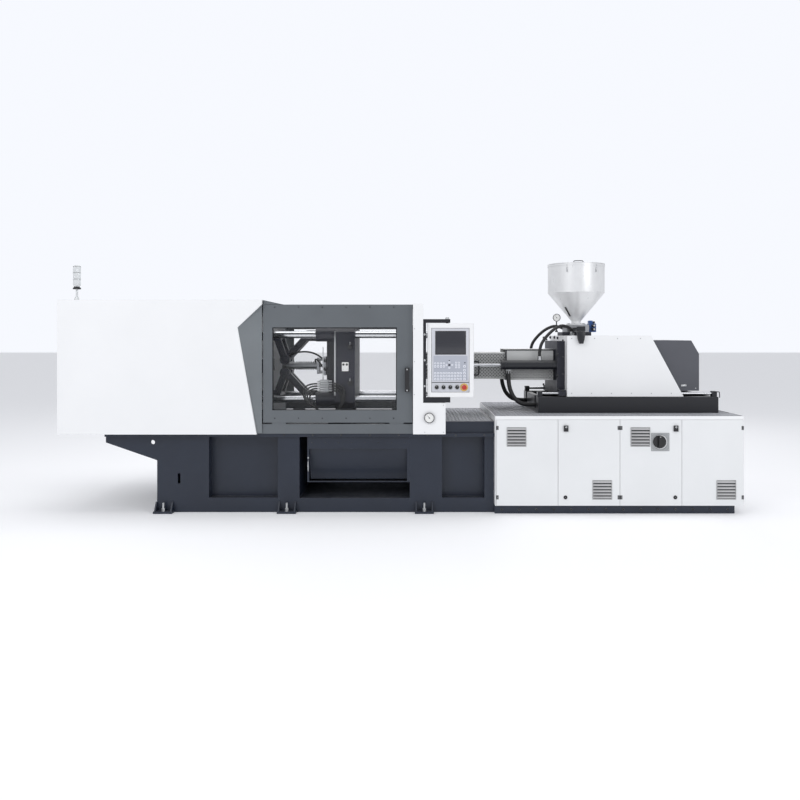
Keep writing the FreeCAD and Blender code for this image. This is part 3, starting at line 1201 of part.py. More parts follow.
def feed_slide():
    """Shut-off slide under the hopper: open at rest, pushed in to close the throat."""
    plate = block("slide_plate", ("throat_x - slide_half", "throat_x + slide_half"),
                  ("-slide_front - grip_drop", "-throat_r - 4"),
                  ("slide_low", "slide_low + slide_t"))
    grip = outline("slide_grip", "xz", [("throat_x - grip_half", "slide_low - grip_drop"),
                                        ("throat_x + grip_half", "slide_low - grip_drop"),
                                        ("throat_x + grip_half", "slide_low + slide_t + 14"),
                                        ("throat_x - grip_half", "slide_low + slide_t + 14")],
                   ("-grip_out - 84", "-slide_front - 84"))
    stem = block("slide_stem", ("throat_x - 20", "throat_x + 20"),
                 ("-slide_front - 85", "-slide_front + 1"), ("slide_low", "slide_low + slide_t"))
    return node("feed_slide", join("feed_slide", plate, stem, grip))


def hopper():
    """Spun steel hopper: flange, neck, cone and cylinder of one sheet thickness."""
    wall = "hopper_wall"
    profile = [("throat_r", "feed_top"), ("hopper_flange_r", "feed_top"),
               ("hopper_flange_r", "feed_top + hopper_flange_t"),
               ("throat_r + " + wall, "feed_top + hopper_flange_t"),
               ("throat_r + " + wall, "hopper_neck"), ("hopper_r", "hopper_shoulder"),
               ("hopper_r", "hopper_rim"), ("hopper_r - " + wall, "hopper_rim"),
               ("hopper_r - " + wall, "hopper_shoulder + 1"), ("throat_r", "hopper_neck + 1")]
    return node("hopper", turned("hopper", profile, "throat_x", "0"))


def hopper_lid():
    """Dished lid that rests on the hopper's rim and hinges at the back."""
    rim = "hopper_rim + seat_gap"
    profile = [("0", rim), ("lid_r", rim), ("lid_r", rim + " + lid_rim_t"),
               ("lid_flat_r", "lid_top"), ("0", "lid_top")]
    return node("hopper_lid", turned("hopper_lid", profile, "throat_x", "0"))


# ---------------------------------------------------------------- hoses

def hose(name, points, radius):
    """A tube along straight runs joined by tangent arcs, as large as the runs allow."""
    corners = [Vector(*point) for point in points]
    runs = [(b - a).Length for a, b in zip(corners, corners[1:])]
    edges = []
    start = corners[0]
    for i in range(1, len(corners) - 1):
        before = (corners[i] - corners[i - 1]).normalize()
        after = (corners[i + 1] - corners[i]).normalize()
        back = 0.45 * min(runs[i - 1], runs[i])
        bend = back / ((1 - before.dot(after)) / (1 + before.dot(after))) ** 0.5
        print("%s bend radius %.0f" % (name, bend))
        enter = corners[i] - before * back
        leave = corners[i] + after * back
        inward = (after - before).normalize()
        depth = (bend ** 2 + back ** 2) ** 0.5 - bend
        edges.append(Part.LineSegment(start, enter).toShape())
        edges.append(Part.Arc(enter, corners[i] + inward * depth, leave).toShape())
        start = leave
    edges.append(Part.LineSegment(start, corners[-1]).toShape())
    path = Part.Wire(edges)
    heading = (corners[1] - corners[0]).normalize()
    ring = Part.Wire([Part.makeCircle(radius, corners[0], heading)])
    tube = path.makePipeShell([ring], True, False)
    expected = math.pi * radius ** 2 * path.Length
    print("%s length %.0f, volume over section times length %.4f"
          % (name, path.Length, tube.Volume / expected))
    return tube


def carriage_hoses():
    """Hydraulic hoses that ride with the carriage: two to the base's port, two to the valves."""
    under = SIZES["pull_z"] - SIZES["pull_r"] - SIZES["seat_gap"]
    over = SIZES["pull_z"] + SIZES["pull_r"] + SIZES["seat_gap"]
    cover_top = SIZES["unit_top"] + SIZES["seat_gap"]
    left = SIZES["pull_left"]
    base = SIZES["base_left"]
    plate = SIZES["plate_left"]
    port = SIZES["port_z"]
    routes = []
    for side, sign in (("front", -1), ("far", 1)):
        y = sign * SIZES["pull_y"]
        lower = [(left + 70, 0, under), (left + 70, 0, under - 74), (left + 80, 2, under - 164),
                 (left + 112, 6, port + 70), (left + 172, 8, port + 12),
                 (base - 64, 4, port - 2), (base + 22, 0, port), (base + 110, 0, port)]
        upper = [(plate - 150, 0, over), (plate - 150, 0, over + 80),
                 (plate - 133, -4, over + 150), (plate - 80, -14, over + 222),
                 (plate - 8, -35, over + 286), (plate + 68, -70, over + 318),
                 (plate + 136, -98, over + 300), (plate + 172, -112, over + 268),
                 (plate + 172, -112, cover_top)]
        for name, radius, route in (("lower_hose_", "lower_hose_r", lower),
                                    ("upper_hose_", "hose_r", upper)):
            points = [(x, y + sign * out, z) for x, out, z in route]
            routes.append((name + side, SIZES[radius], points))
    tubes = [hose(name, points, radius) for name, radius, points in routes]
    thing = doc.addObject("Part::Feature", "carriage_hoses")
    thing.Shape = Part.makeCompound(tubes)
    thing.Placement = Placement()
    return node("carriage_hoses", thing)


# ---------------------------------------------------------------- build, check and write

def build():
    for make in (clamp_bed, levelling_feet, injection_bed, cabinet_shell, deck_plates,
                 pump_motor, fixed_platen, tie_bars, tail_platen, clamp_cylinder, crosshead,
                 moving_platen, ejector_cylinder, ejector_plate, toggle, front_cover,
                 clamp_hood, gate_wedge, gate_rails, gates, outlet_guard, column_covers,
                 panel_bracket, panel_housing, selector_knobs, stop_button, warning_beacon,
                 cabinet_doors, main_switch, injection_base, carriage_rods, injection_housing,
                 barrel, injection_screw, thrust_plate, barrel_guards, carriage_cylinders,
                 unit_cover, motor_cover, feed_block, feed_slide, hopper, hopper_lid,
                 carriage_hoses):
        make()
    doc.removeObject(corner.Name)
    doc.recompute()


def check():
    """Stop on any failed feature or shape before a file is written."""
    for thing in doc.Objects:
        if "Invalid" in thing.State or "Error" in thing.State:
            raise RuntimeError("%s failed: %s" % (thing.Name, thing.State))
    for thing in NODES:
        if thing.Shape.isNull() or not thing.Shape.isValid() or not thing.Shape.Solids:
            raise RuntimeError("%s has no valid solid" % thing.Label)


def write():
    os.makedirs("parts", exist_ok=True)
    for thing in NODES:
        thing.Shape.exportStep("parts/%s.step" % thing.Label)
    print("%d sub-parts written" % len(NODES))


build()
check()
write()
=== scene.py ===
"""Looks of a toggle-clamp injection moulding machine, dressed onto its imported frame.

Metres.  +X runs to the injection end, -Y is the operator's side, Z is up from the floor.
"""
import math
import bmesh
import bpy
from mathutils import Matrix, Vector


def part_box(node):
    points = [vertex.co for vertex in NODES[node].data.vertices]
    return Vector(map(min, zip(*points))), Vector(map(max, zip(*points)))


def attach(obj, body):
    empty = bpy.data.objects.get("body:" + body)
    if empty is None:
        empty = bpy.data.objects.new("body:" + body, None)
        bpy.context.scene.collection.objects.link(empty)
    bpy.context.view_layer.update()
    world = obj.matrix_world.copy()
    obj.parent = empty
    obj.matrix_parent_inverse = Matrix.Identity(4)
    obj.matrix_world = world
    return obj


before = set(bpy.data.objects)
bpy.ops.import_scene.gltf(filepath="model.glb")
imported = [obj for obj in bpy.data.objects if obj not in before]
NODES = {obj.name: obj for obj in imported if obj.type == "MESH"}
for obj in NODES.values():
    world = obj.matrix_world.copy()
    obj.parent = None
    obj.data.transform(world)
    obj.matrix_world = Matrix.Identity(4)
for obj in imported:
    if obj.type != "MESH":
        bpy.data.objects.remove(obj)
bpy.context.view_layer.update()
LOW = {name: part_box(name)[0] for name in NODES}
HIGH = {name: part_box(name)[1] for name in NODES}
FRONT = Vector((0, -1, 0))
BACK = Vector((0, 1, 0))
UP = Vector((0, 0, 1))
RIGHT = Vector((1, 0, 0))
LEFT = Vector((-1, 0, 0))
DOWN = Vector((0, 0, -1))
TIE_BARS = [(y, z) for y in (-0.29, 0.29) for z in (0.95, 1.53)]


# ---------------------------------------------------------------- camera and studio

def camera():
    """Stands level in front of the machine, at a standing worker's eye height."""
    data = bpy.data.cameras.new("viewpoint")
    data.lens = 34.4
    data.sensor_width = 36.0
    data.shift_x = -0.006
    data.shift_y = -0.081
    data.clip_end = 200.0
    seat = bpy.data.objects.new("viewpoint", data)
    bpy.context.scene.collection.objects.link(seat)
    seat.location = (0.037, -7.18, 1.525)
    seat.rotation_euler = (math.radians(90), 0, 0)
    bpy.context.scene.camera = seat


def soft_light(name, place, target, width, height, power):
    """A large soft box aimed at a point."""
    data = bpy.data.lights.new(name, "AREA")
    data.shape = "RECTANGLE"
    data.size = width
    data.size_y = height
    data.energy = power
    lamp = bpy.data.objects.new(name, data)
    bpy.context.scene.collection.objects.link(lamp)
    lamp.location = place
    lamp.rotation_euler = (Vector(target) - Vector(place)).to_track_quat("-Z", "Y").to_euler()


def studio():
    """A plain pale floor, a pale surround and four soft boxes."""
    bm = bmesh.new()
    bmesh.ops.create_grid(bm, x_segments=1, y_segments=1, size=60.0)
    mesh = bpy.data.meshes.new("floor")
    bm.to_mesh(mesh)
    bm.free()
    floor = bpy.data.objects.new("floor", mesh)
    bpy.context.scene.collection.objects.link(floor)
    paint = bpy.data.materials.new("studio_floor")
    paint.use_nodes = True
    shader = paint.node_tree.nodes["Principled BSDF"]
    shader.inputs["Base Color"].default_value = (0.90, 0.90, 0.91, 1)
    shader.inputs["Emission Color"].default_value = (0.97, 0.98, 1.0, 1)
    shader.inputs["Emission Strength"].default_value = 0.12
    shader.inputs["Roughness"].default_value = 0.6
    shader.inputs["Specular IOR Level"].default_value = 0.2
    mesh.materials.append(paint)
    world = bpy.data.worlds.new("studio_surround")
    world.use_nodes = True
    tree = world.node_tree
    surround = tree.nodes["Background"]
    surround.inputs["Color"].default_value = (0.93, 0.95, 1.0, 1)
    seen = tree.nodes.new("ShaderNodeLightPath").outputs["Is Camera Ray"]
    tree.links.new(ranged(tree, seen, 0.0, 1.0, 0.66, 1.0), surround.inputs["Strength"])
    bpy.context.scene.world = world
    soft_light("key_box", (-4.5, -6.5, 5.5), (-0.5, 0, 1.0), 4.0, 3.0, 150)
    soft_light("fill_box", (5.5, -6.0, 3.5), (0.8, 0, 1.0), 3.5, 3.0, 80)
    soft_light("top_box", (0, -0.5, 6.5), (0, 0, 0), 8.0, 3.0, 130)
    soft_light("back_box", (1.0, 6.5, 4.5), (0, 0, 1.0), 6.0, 3.0, 120)
    bpy.context.scene.view_settings.view_transform = "Standard"


# ---------------------------------------------------------------- shader groups

def group_of(name, inputs, outputs):
    """An empty shader node group with named sockets."""
    tree = bpy.data.node_groups.new(name, "ShaderNodeTree")
    for label, kind, value in inputs:
        socket = tree.interface.new_socket(label, in_out="INPUT", socket_type=kind)
        socket.default_value = value
    for label, kind in outputs:
        tree.interface.new_socket(label, in_out="OUTPUT", socket_type=kind)
    return tree, tree.nodes.new("NodeGroupInput"), tree.nodes.new("NodeGroupOutput")


def noise(tree, vector, scale, detail=4.0, rough=0.55):
    """A noise texture on the piece's own coordinates; scale is a number or a socket."""
    node = tree.nodes.new("ShaderNodeTexNoise")
    node.inputs["Detail"].default_value = detail
    node.inputs["Roughness"].default_value = rough
    tree.links.new(vector, node.inputs["Vector"])
    if hasattr(scale, "is_output"):
        tree.links.new(scale, node.inputs["Scale"])
    else:
        node.inputs["Scale"].default_value = scale
    return node.outputs["Fac"]


def sum_of(tree, operation, first, second, third=None):
    """A Math node on sockets or numbers."""
    node = tree.nodes.new("ShaderNodeMath")
    node.operation = operation
    for index, value in enumerate((first, second, third)):
        if value is None:
            continue
        if hasattr(value, "is_output"):
            tree.links.new(value, node.inputs[index])
        else:
            node.inputs[index].default_value = value
    return node.outputs[0]


def ranged(tree, value, low, high, new_low, new_high):
    """Stretches a value between two limits onto two others, clamped."""
    node = tree.nodes.new("ShaderNodeMapRange")
    tree.links.new(value, node.inputs["Value"])
    for label, limit in (("From Min", low), ("From Max", high), ("To Min", new_low), ("To Max", new_high)):
        if hasattr(limit, "is_output"):
            tree.links.new(limit, node.inputs[label])
        else:
            node.inputs[label].default_value = limit
    return node.outputs["Result"]


def blended(tree, factor, first, second, kind="MIX"):
    """Mixes two colours by a factor."""
    node = tree.nodes.new("ShaderNodeMix")
    node.data_type = "RGBA"
    node.blend_type = kind
    for socket, value in ((node.inputs["Factor"], factor), (node.inputs[6], first), (node.inputs[7], second)):
        if hasattr(value, "is_output"):
            tree.links.new(value, socket)
        else:
            socket.default_value = value
    return node.outputs[2]


def object_place(tree):
    return tree.nodes.new("ShaderNodeTexCoord").outputs["Object"]


def rounded_edge(tree, radius):
    """A normal that turns softly round each sharp edge."""
    node = tree.nodes.new("ShaderNodeBevel")
    node.samples = 4
    tree.links.new(radius, node.inputs["Radius"])
    return node.outputs["Normal"]


def relief(tree, height, strength, depth, normal):
    node = tree.nodes.new("ShaderNodeBump")
    node.inputs["Distance"].default_value = depth
    tree.links.new(height, node.inputs["Height"])
    tree.links.new(normal, node.inputs["Normal"])
    tree.links.new(strength, node.inputs["Strength"])
    return node.outputs["Normal"]


def coat_group():
    """Powder coat or enamel: slow colour drift, orange peel, uneven sheen and soft edges."""
    tree, given, out = group_of(
        "coat_skin",
        [("Colour", "NodeSocketColor", (0.5, 0.5, 0.5, 1)), ("Drift", "NodeSocketFloat", 0.05),
         ("Roughness", "NodeSocketFloat", 0.4), ("Peel", "NodeSocketFloat", 0.2),
         ("Peel Scale", "NodeSocketFloat", 600.0), ("Edge", "NodeSocketFloat", 0.0015)],
        [("Color", "NodeSocketColor"), ("Roughness", "NodeSocketFloat"), ("Normal", "NodeSocketVector")])
    place = object_place(tree)
    slow = noise(tree, place, 1.7, 3.0)
    smudge = noise(tree, place, 23.0, 5.0)
    shade = ranged(tree, slow, 0.35, 0.65, sum_of(tree, "SUBTRACT", 1.0, given.outputs["Drift"]),
                   sum_of(tree, "ADD", 1.0, given.outputs["Drift"]))
    scaled = tree.nodes.new("ShaderNodeVectorMath")
    scaled.operation = "SCALE"
    tree.links.new(given.outputs["Colour"], scaled.inputs[0])
    tree.links.new(shade, scaled.inputs["Scale"])
    tree.links.new(scaled.outputs[0], out.inputs["Color"])
    gloss = ranged(tree, smudge, 0.3, 0.7, -0.05, 0.06)
    tree.links.new(sum_of(tree, "ADD", given.outputs["Roughness"], gloss), out.inputs["Roughness"])
    peel = noise(tree, place, given.outputs["Peel Scale"], 2.0)
    tree.links.new(relief(tree, peel, given.outputs["Peel"], 0.0006, rounded_edge(tree, given.outputs["Edge"])),
                   out.inputs["Normal"])
    return tree


def drawn_group():
    """Ground, brushed or turned metal: fine lines along a stretch, faint stains."""
    tree, given, out = group_of(
        "drawn_metal",
        [("Colour", "NodeSocketColor", (0.5, 0.5, 0.5, 1)),
         ("Stretch", "NodeSocketVector", (4.0, 300.0, 300.0)),
         ("Contrast", "NodeSocketFloat", 0.12), ("Roughness", "NodeSocketFloat", 0.25),
         ("Lines", "NodeSocketFloat", 0.15), ("Edge", "NodeSocketFloat", 0.001)],
        [("Color", "NodeSocketColor"), ("Roughness", "NodeSocketFloat"), ("Normal", "NodeSocketVector")])
    place = object_place(tree)
    stretch = tree.nodes.new("ShaderNodeVectorMath")
    stretch.operation = "MULTIPLY"
    tree.links.new(place, stretch.inputs[0])
    tree.links.new(given.outputs["Stretch"], stretch.inputs[1])
    lines = noise(tree, stretch.outputs[0], 1.0, 3.0, 0.7)
    stain = noise(tree, place, 9.0, 5.0)
    dark = ranged(tree, lines, 0.3, 0.7, sum_of(tree, "SUBTRACT", 1.0, given.outputs["Contrast"]), 1.0)
    dark = sum_of(tree, "MULTIPLY", dark, ranged(tree, stain, 0.3, 0.75, 1.0, 0.9))
    scaled = tree.nodes.new("ShaderNodeVectorMath")
    scaled.operation = "SCALE"
    tree.links.new(given.outputs["Colour"], scaled.inputs[0])
    tree.links.new(dark, scaled.inputs["Scale"])
    tree.links.new(scaled.outputs[0], out.inputs["Color"])
    gloss = sum_of(tree, "ADD", ranged(tree, lines, 0.3, 0.7, -0.04, 0.05),
                   ranged(tree, stain, 0.4, 0.8, 0.0, 0.1))
    tree.links.new(sum_of(tree, "ADD", given.outputs["Roughness"], gloss), out.inputs["Roughness"])
    tree.links.new(relief(tree, lines, given.outputs["Lines"], 0.0004,
                          rounded_edge(tree, given.outputs["Edge"])),
                   out.inputs["Normal"])
    return tree


def dust_group():
    """Pale shop dust that settles on faces that look up."""
    tree, given, out = group_of(
        "settled_dust",
        [("Colour", "NodeSocketColor", (0.5, 0.5, 0.5, 1)), ("Dust", "NodeSocketColor", (0.4, 0.38, 0.35, 1)),
         ("Amount", "NodeSocketFloat", 0.2), ("Roughness", "NodeSocketFloat", 0.4)],
        [("Color", "NodeSocketColor"), ("Roughness", "NodeSocketFloat")])
    shape = tree.nodes.new("ShaderNodeNewGeometry")
    axes = tree.nodes.new("ShaderNodeSeparateXYZ")
    tree.links.new(shape.outputs["Normal"], axes.inputs[0])
    facing = ranged(tree, axes.outputs["Z"], 0.3, 0.95, 0.0, 1.0)
    patch = ranged(tree, noise(tree, object_place(tree), 14.0, 6.0), 0.35, 0.7, 0.35, 1.0)
    mask = sum_of(tree, "MULTIPLY", sum_of(tree, "MULTIPLY", facing, patch), given.outputs["Amount"])
    tree.links.new(blended(tree, mask, given.outputs["Colour"], given.outputs["Dust"]), out.inputs["Color"])
    tree.links.new(sum_of(tree, "MULTIPLY_ADD", mask, 0.35, given.outputs["Roughness"]),
                   out.inputs["Roughness"])
    return tree


def edge_highlight_group():
    """Lays a paler colour in patches along sharp edges: a painted edge highlight."""
    tree, given, out = group_of(
        "painted_edge_highlight",
        [("Colour", "NodeSocketColor", (0.5, 0.5, 0.5, 1)), ("Bare", "NodeSocketColor", (0.6, 0.6, 0.6, 1)),
         ("Amount", "NodeSocketFloat", 0.4), ("Width", "NodeSocketFloat", 0.004)],
        [("Color", "NodeSocketColor")])
    soft = tree.nodes.new("ShaderNodeBevel")
    soft.samples = 4
    tree.links.new(given.outputs["Width"], soft.inputs["Radius"])
    shape = tree.nodes.new("ShaderNodeNewGeometry")
    turned = tree.nodes.new("ShaderNodeVectorMath")
    turned.operation = "DOT_PRODUCT"
    tree.links.new(soft.outputs["Normal"], turned.inputs[0])
    tree.links.new(shape.outputs["Normal"], turned.inputs[1])
    edge = ranged(tree, turned.outputs["Value"], 0.995, 0.85, 0.0, 1.0)
    patch = ranged(tree, noise(tree, object_place(tree), 35.0, 6.0), 0.42, 0.62, 0.15, 1.0)
    mask = sum_of(tree, "MULTIPLY", sum_of(tree, "MULTIPLY", edge, patch), given.outputs["Amount"])
    tree.links.new(blended(tree, mask, given.outputs["Colour"], given.outputs["Bare"]), out.inputs["Color"])
    return tree


GROUPS = {"coat": coat_group(), "drawn": drawn_group(), "dust": dust_group(), "edge_highlight": edge_highlight_group()}


def placed(tree, key, **values):
    """One of the shared groups, set to this material's own values."""
    node = tree.nodes.new("ShaderNodeGroup")
    node.node_tree = GROUPS[key]
    for label, value in values.items():
        node.inputs[label.replace("_", " ")].default_value = value
    return node


def rgba(colour):
    return (*colour, 1.0)


def finish(name, colour, roughness, metallic=0.0, edge_highlight=0.0, edge_highlight_colour=(0.55, 0.56, 0.58), dust=0.0, drawn=None,
           shader=None, **skin):
    """A finish: its skin, a painted highlight in patches along its edges, and the dust that lies on it."""
    material = bpy.data.materials.new(name)
    material.use_nodes = True
    tree = material.node_tree
    surface = tree.nodes["Principled BSDF"]
    if drawn:
        base = placed(tree, "drawn", Colour=rgba(colour), Roughness=roughness, Stretch=drawn, **skin)
    else:
        base = placed(tree, "coat", Colour=rgba(colour), Roughness=roughness, **skin)
    tint = base.outputs["Color"]
    sheen = base.outputs["Roughness"]
    # A paler colour along the edges, in patches: a painted edge highlight.
    if edge_highlight:
        edge_lit = placed(tree, "edge_highlight", Bare=rgba(edge_highlight_colour), Amount=edge_highlight)
        tree.links.new(tint, edge_lit.inputs["Colour"])
        tint = edge_lit.outputs["Color"]
    if dust:
        settled = placed(tree, "dust", Amount=dust)
        tree.links.new(tint, settled.inputs["Colour"])
        tree.links.new(sheen, settled.inputs["Roughness"])
        tint, sheen = settled.outputs["Color"], settled.outputs["Roughness"]
    tree.links.new(tint, surface.inputs["Base Color"])
    tree.links.new(sheen, surface.inputs["Roughness"])
    tree.links.new(base.outputs["Normal"], surface.inputs["Normal"])
    surface.inputs["Metallic"].default_value = metallic
    for label, value in (shader or {}).items():
        surface.inputs[label].default_value = value
    return material


# On the dark finishes below, the edge amount and the paler edge colour paint a highlight along their edges.
NAVY = finish("navy_enamel", (0.0125, 0.0185, 0.034), 0.38, edge_highlight=0.35, edge_highlight_colour=(0.16, 0.18, 0.22), dust=0.12,
              Drift=0.10, Peel=0.22, Edge=0.003)
WHITE = finish("white_powder_coat", (0.88, 0.885, 0.89), 0.36, dust=0.05, Drift=0.012, Peel=0.12,
               Edge=0.002, shader={"Coat Weight": 0.15})
DOOR_WHITE = finish("door_powder_coat", (0.80, 0.81, 0.815), 0.40, dust=0.05, Drift=0.015, Peel=0.16,
                    Edge=0.002)
SLATE = finish("slate_powder_coat", (0.118, 0.131, 0.143), 0.42, edge_highlight=0.25, edge_highlight_colour=(0.30, 0.32, 0.34), dust=0.10,
               Drift=0.06, Peel=0.2, Edge=0.002)
# The slanted gate wedge wears the slate paint made paler: painted light for a face turned towards the lamps.
LIT_WEDGE_SLATE = finish("slate_coat_painted_light", (0.172, 0.188, 0.200), 0.42, edge_highlight=0.25, edge_highlight_colour=(0.35, 0.37, 0.38),
               dust=0.10, Drift=0.06, Peel=0.2, Edge=0.002)
PLATEN = finish("platen_enamel", (0.0095, 0.0105, 0.021), 0.46, edge_highlight=0.35, edge_highlight_colour=(0.30, 0.31, 0.33), dust=0.10,
                Drift=0.16, Peel=0.22, Peel_Scale=260.0, Edge=0.003)
CHROME = finish("ground_chrome", (0.72, 0.73, 0.75), 0.13, 1.0, drawn=(3.0, 420.0, 420.0), Contrast=0.10,
                Lines=0.05, Edge=0.001)
STEEL = finish("machined_steel", (0.42, 0.43, 0.45), 0.34, 1.0, drawn=(30.0, 300.0, 300.0), Contrast=0.25,
               Lines=0.2, Edge=0.0015, dust=0.10)
ZINC = finish("zinc_plated_steel", (0.62, 0.63, 0.64), 0.30, 1.0, drawn=(160.0, 160.0, 160.0), Contrast=0.2,
              Lines=0.15, Edge=0.0008)
DARK_STEEL = finish("blackened_steel", (0.035, 0.036, 0.040), 0.42, 0.6, edge_highlight=0.4, edge_highlight_colour=(0.3, 0.3, 0.31),
                    Drift=0.12, Peel=0.3, Edge=0.001)
BLACK = finish("black_enamel", (0.0095, 0.0105, 0.0150), 0.34, edge_highlight=0.35, edge_highlight_colour=(0.16, 0.17, 0.18), dust=0.12,
               Drift=0.10, Peel=0.2, Edge=0.002)
COVER = finish("drive_cover_coat", (0.080, 0.083, 0.098), 0.44, edge_highlight=0.2, edge_highlight_colour=(0.25, 0.25, 0.27), dust=0.10,
               Drift=0.05, Peel=0.2, Edge=0.002)
GUARD = finish("guard_coat", (0.50, 0.505, 0.50), 0.40, edge_highlight=0.2, edge_highlight_colour=(0.6, 0.6, 0.6), dust=0.10, Drift=0.04,
               Peel=0.18, Edge=0.0015)
PLASTIC = finish("black_moulding", (0.014, 0.014, 0.016), 0.42, Drift=0.08, Peel=0.45, Peel_Scale=900.0,
                 Edge=0.001)
GREY_PLASTIC = finish("grey_moulding", (0.34, 0.35, 0.36), 0.45, Drift=0.05, Peel=0.4, Peel_Scale=900.0,
                      Edge=0.001)
RED = finish("red_moulding", (0.50, 0.028, 0.016), 0.25, Drift=0.05, Peel=0.1, Edge=0.001,
             shader={"Coat Weight": 0.5})
YELLOW = finish("yellow_ring", (0.72, 0.46, 0.09), 0.40, Drift=0.05, Peel=0.1, Edge=0.0005)
BLUE = finish("valve_blue", (0.022, 0.085, 0.27), 0.35, Drift=0.10, Peel=0.25, Edge=0.001, edge_highlight=0.2)
RUBBER = finish("hose_rubber", (0.010, 0.010, 0.011), 0.52, Drift=0.15, Peel=0.6, Peel_Scale=350.0, Edge=0.0005,
                dust=0.08)
HOPPER = finish("polished_stainless", (0.86, 0.865, 0.87), 0.30, 0.30, drawn=(60.0, 60.0, 3.0), Contrast=0.02,
                Lines=0.02, Edge=0.001)
BARREL = finish("nitrided_steel", (0.30, 0.285, 0.265), 0.36, 1.0, drawn=(240.0, 40.0, 40.0), Contrast=0.3,
                Lines=0.3, Edge=0.0015)
BAND = finish("heater_band", (0.46, 0.44, 0.40), 0.35, 1.0, drawn=(60.0, 260.0, 260.0), Contrast=0.3, Lines=0.2,
              Edge=0.0008)
CHEQUER = finish("chequer_plate", (0.10, 0.105, 0.125), 0.42, 0.75, dust=0.22, edge_highlight=0.5, edge_highlight_colour=(0.62, 0.62, 0.64),
                 Drift=0.10, Peel=0.3, Edge=0.001)
LOZENGE = finish("chequer_lozenge", (0.40, 0.41, 0.44), 0.36, 0.75, dust=0.15, Drift=0.08, Peel=0.2, Edge=0.001)
SILVER = finish("panel_silver", (0.60, 0.61, 0.65), 0.42, 0.15, Drift=0.02, Peel=0.15, Edge=0.0008)
KEY = finish("key_dome", (0.80, 0.82, 0.88), 0.38, Drift=0.03, Peel=0.1, Edge=0.0004)
KEY_DARK = finish("key_legend", (0.045, 0.048, 0.065), 0.42, Drift=0.03, Peel=0.1, Edge=0.0004)
SCREEN = finish("screen_glass", (0.018, 0.019, 0.027), 0.16, Drift=0.05, Peel=0.02, Edge=0.0005,
                shader={"Coat Weight": 0.6, "Coat Roughness": 0.05})
LENS = finish("beacon_lens", (0.84, 0.86, 0.87), 0.18, Drift=0.03, Peel=0.05, Edge=0.0006,
              shader={"Transmission Weight": 0.35, "Coat Weight": 0.3})
DIAL = finish("gauge_dial", (0.86, 0.86, 0.84), 0.35, Drift=0.02, Peel=0.05, Edge=0.0004)
LOUVRE = finish("louvre_aluminium", (0.50, 0.50, 0.50), 0.38, 0.35, dust=0.15, Drift=0.05, Peel=0.1,
                Edge=0.0006)
PAD = finish("key_pad_film", (0.42, 0.44, 0.50), 0.45, Drift=0.03, Peel=0.2, Edge=0.0003)
# Dark sheet behind the pierced guards: painted shade seen through their holes.
HOLE_SHADE = finish("pierced_shade", (0.17, 0.172, 0.17), 0.55, 0.2, Drift=0.05, Peel=0.2, Edge=0.0005)
MOTOR = finish("machine_grey_enamel", (0.10, 0.105, 0.115), 0.42, edge_highlight=0.3, dust=0.2, Drift=0.08, Peel=0.3,
               Edge=0.0015)


def pane_finish():
    """Clear guard pane with faint wipe marks."""
    material = bpy.data.materials.new("clear_pane")
    material.use_nodes = True
    tree = material.node_tree
    surface = tree.nodes["Principled BSDF"]
    wiped = placed(tree, "drawn", Colour=(0.96, 0.98, 0.98, 1), Roughness=0.03, Stretch=(3.0, 1.0, 9.0),
                   Contrast=0.02, Lines=0.01, Edge=0.0005)
    tree.links.new(wiped.outputs["Color"], surface.inputs["Base Color"])
    film = ranged(tree, noise(tree, object_place(tree), 2.2, 4.0), 0.35, 0.7, 0.006, 0.020)
    tree.links.new(film, surface.inputs["Alpha"])
    surface.inputs["Roughness"].default_value = 0.05
    surface.inputs["IOR"].default_value = 1.45
    return material


PANE = pane_finish()

CARRIED_OVER = {
    NAVY: ["clamp_bed", "levelling_feet", "injection_bed", "outlet_guard"],
    WHITE: ["clamp_hood", "front_cover", "column_covers", "unit_cover", "cabinet_shell", "panel_housing"],
    DOOR_WHITE: ["cabinet_door_1", "cabinet_door_2", "cabinet_door_3", "cabinet_door_4"],
    SLATE: ["gate_rails", "front_gate", "rear_gate"],
    LIT_WEDGE_SLATE: ["gate_wedge"],
    PLATEN: ["fixed_platen", "tail_platen", "moving_platen", "crosshead", "clamp_cylinder", "injection_housing",
             "front_link_upper", "front_link_lower", "rear_link_upper", "rear_link_lower"],
    STEEL: ["ejector_cylinder", "ejector_plate", "feed_block", "thrust_plate"],
    CHROME: ["tie_bars", "carriage_rods"],
    BLACK: ["panel_bracket", "injection_base", "carriage_cylinders", "feed_slide"],
    GUARD: ["barrel_guard", "nozzle_guard"],
    COVER: ["motor_cover"],
    PLASTIC: ["front_handle", "selector_1", "selector_2", "selector_3", "selector_4", "main_switch",
              "door_latch_2", "door_latch_3"],
    RED: ["stop_button"],
    LENS: ["warning_beacon"],
    HOPPER: ["hopper", "hopper_lid"],
    BARREL: ["barrel", "injection_screw"],
    RUBBER: ["carriage_hoses"],
    CHEQUER: ["deck_plates"],
    MOTOR: ["pump_motor"],
    PANE: ["front_window", "rear_window"],
}


def dress_nodes():
    """Gives every carried-over part its finish."""
    for material, names in CARRIED_OVER.items():
        for name in names:
            slots = NODES[name].material_slots
            if not slots:
                NODES[name].data.materials.append(material)
            for slot in slots:
                slot.link = "OBJECT"
                slot.material = material


# ---------------------------------------------------------------- making pieces

def take(bm, bit, mark=0):
    """Adds a finished bit to a piece, with the number of the piece's finish that it wears."""
    for face in bit.faces:
        face.material_index = mark
    scratch = bpy.data.meshes.new("scratch")
    bit.to_mesh(scratch)
    bit.free()
    bm.from_mesh(scratch)
    bpy.data.meshes.remove(scratch)


def eased(bit, edges, radius, steps=2):
    """Rounds edges."""
    if radius > 0:
        bmesh.ops.bevel(bit, geom=edges, offset=radius, offset_type="OFFSET", affect="EDGES", segments=steps,
                        profile=0.5, material=-1, clamp_overlap=True)


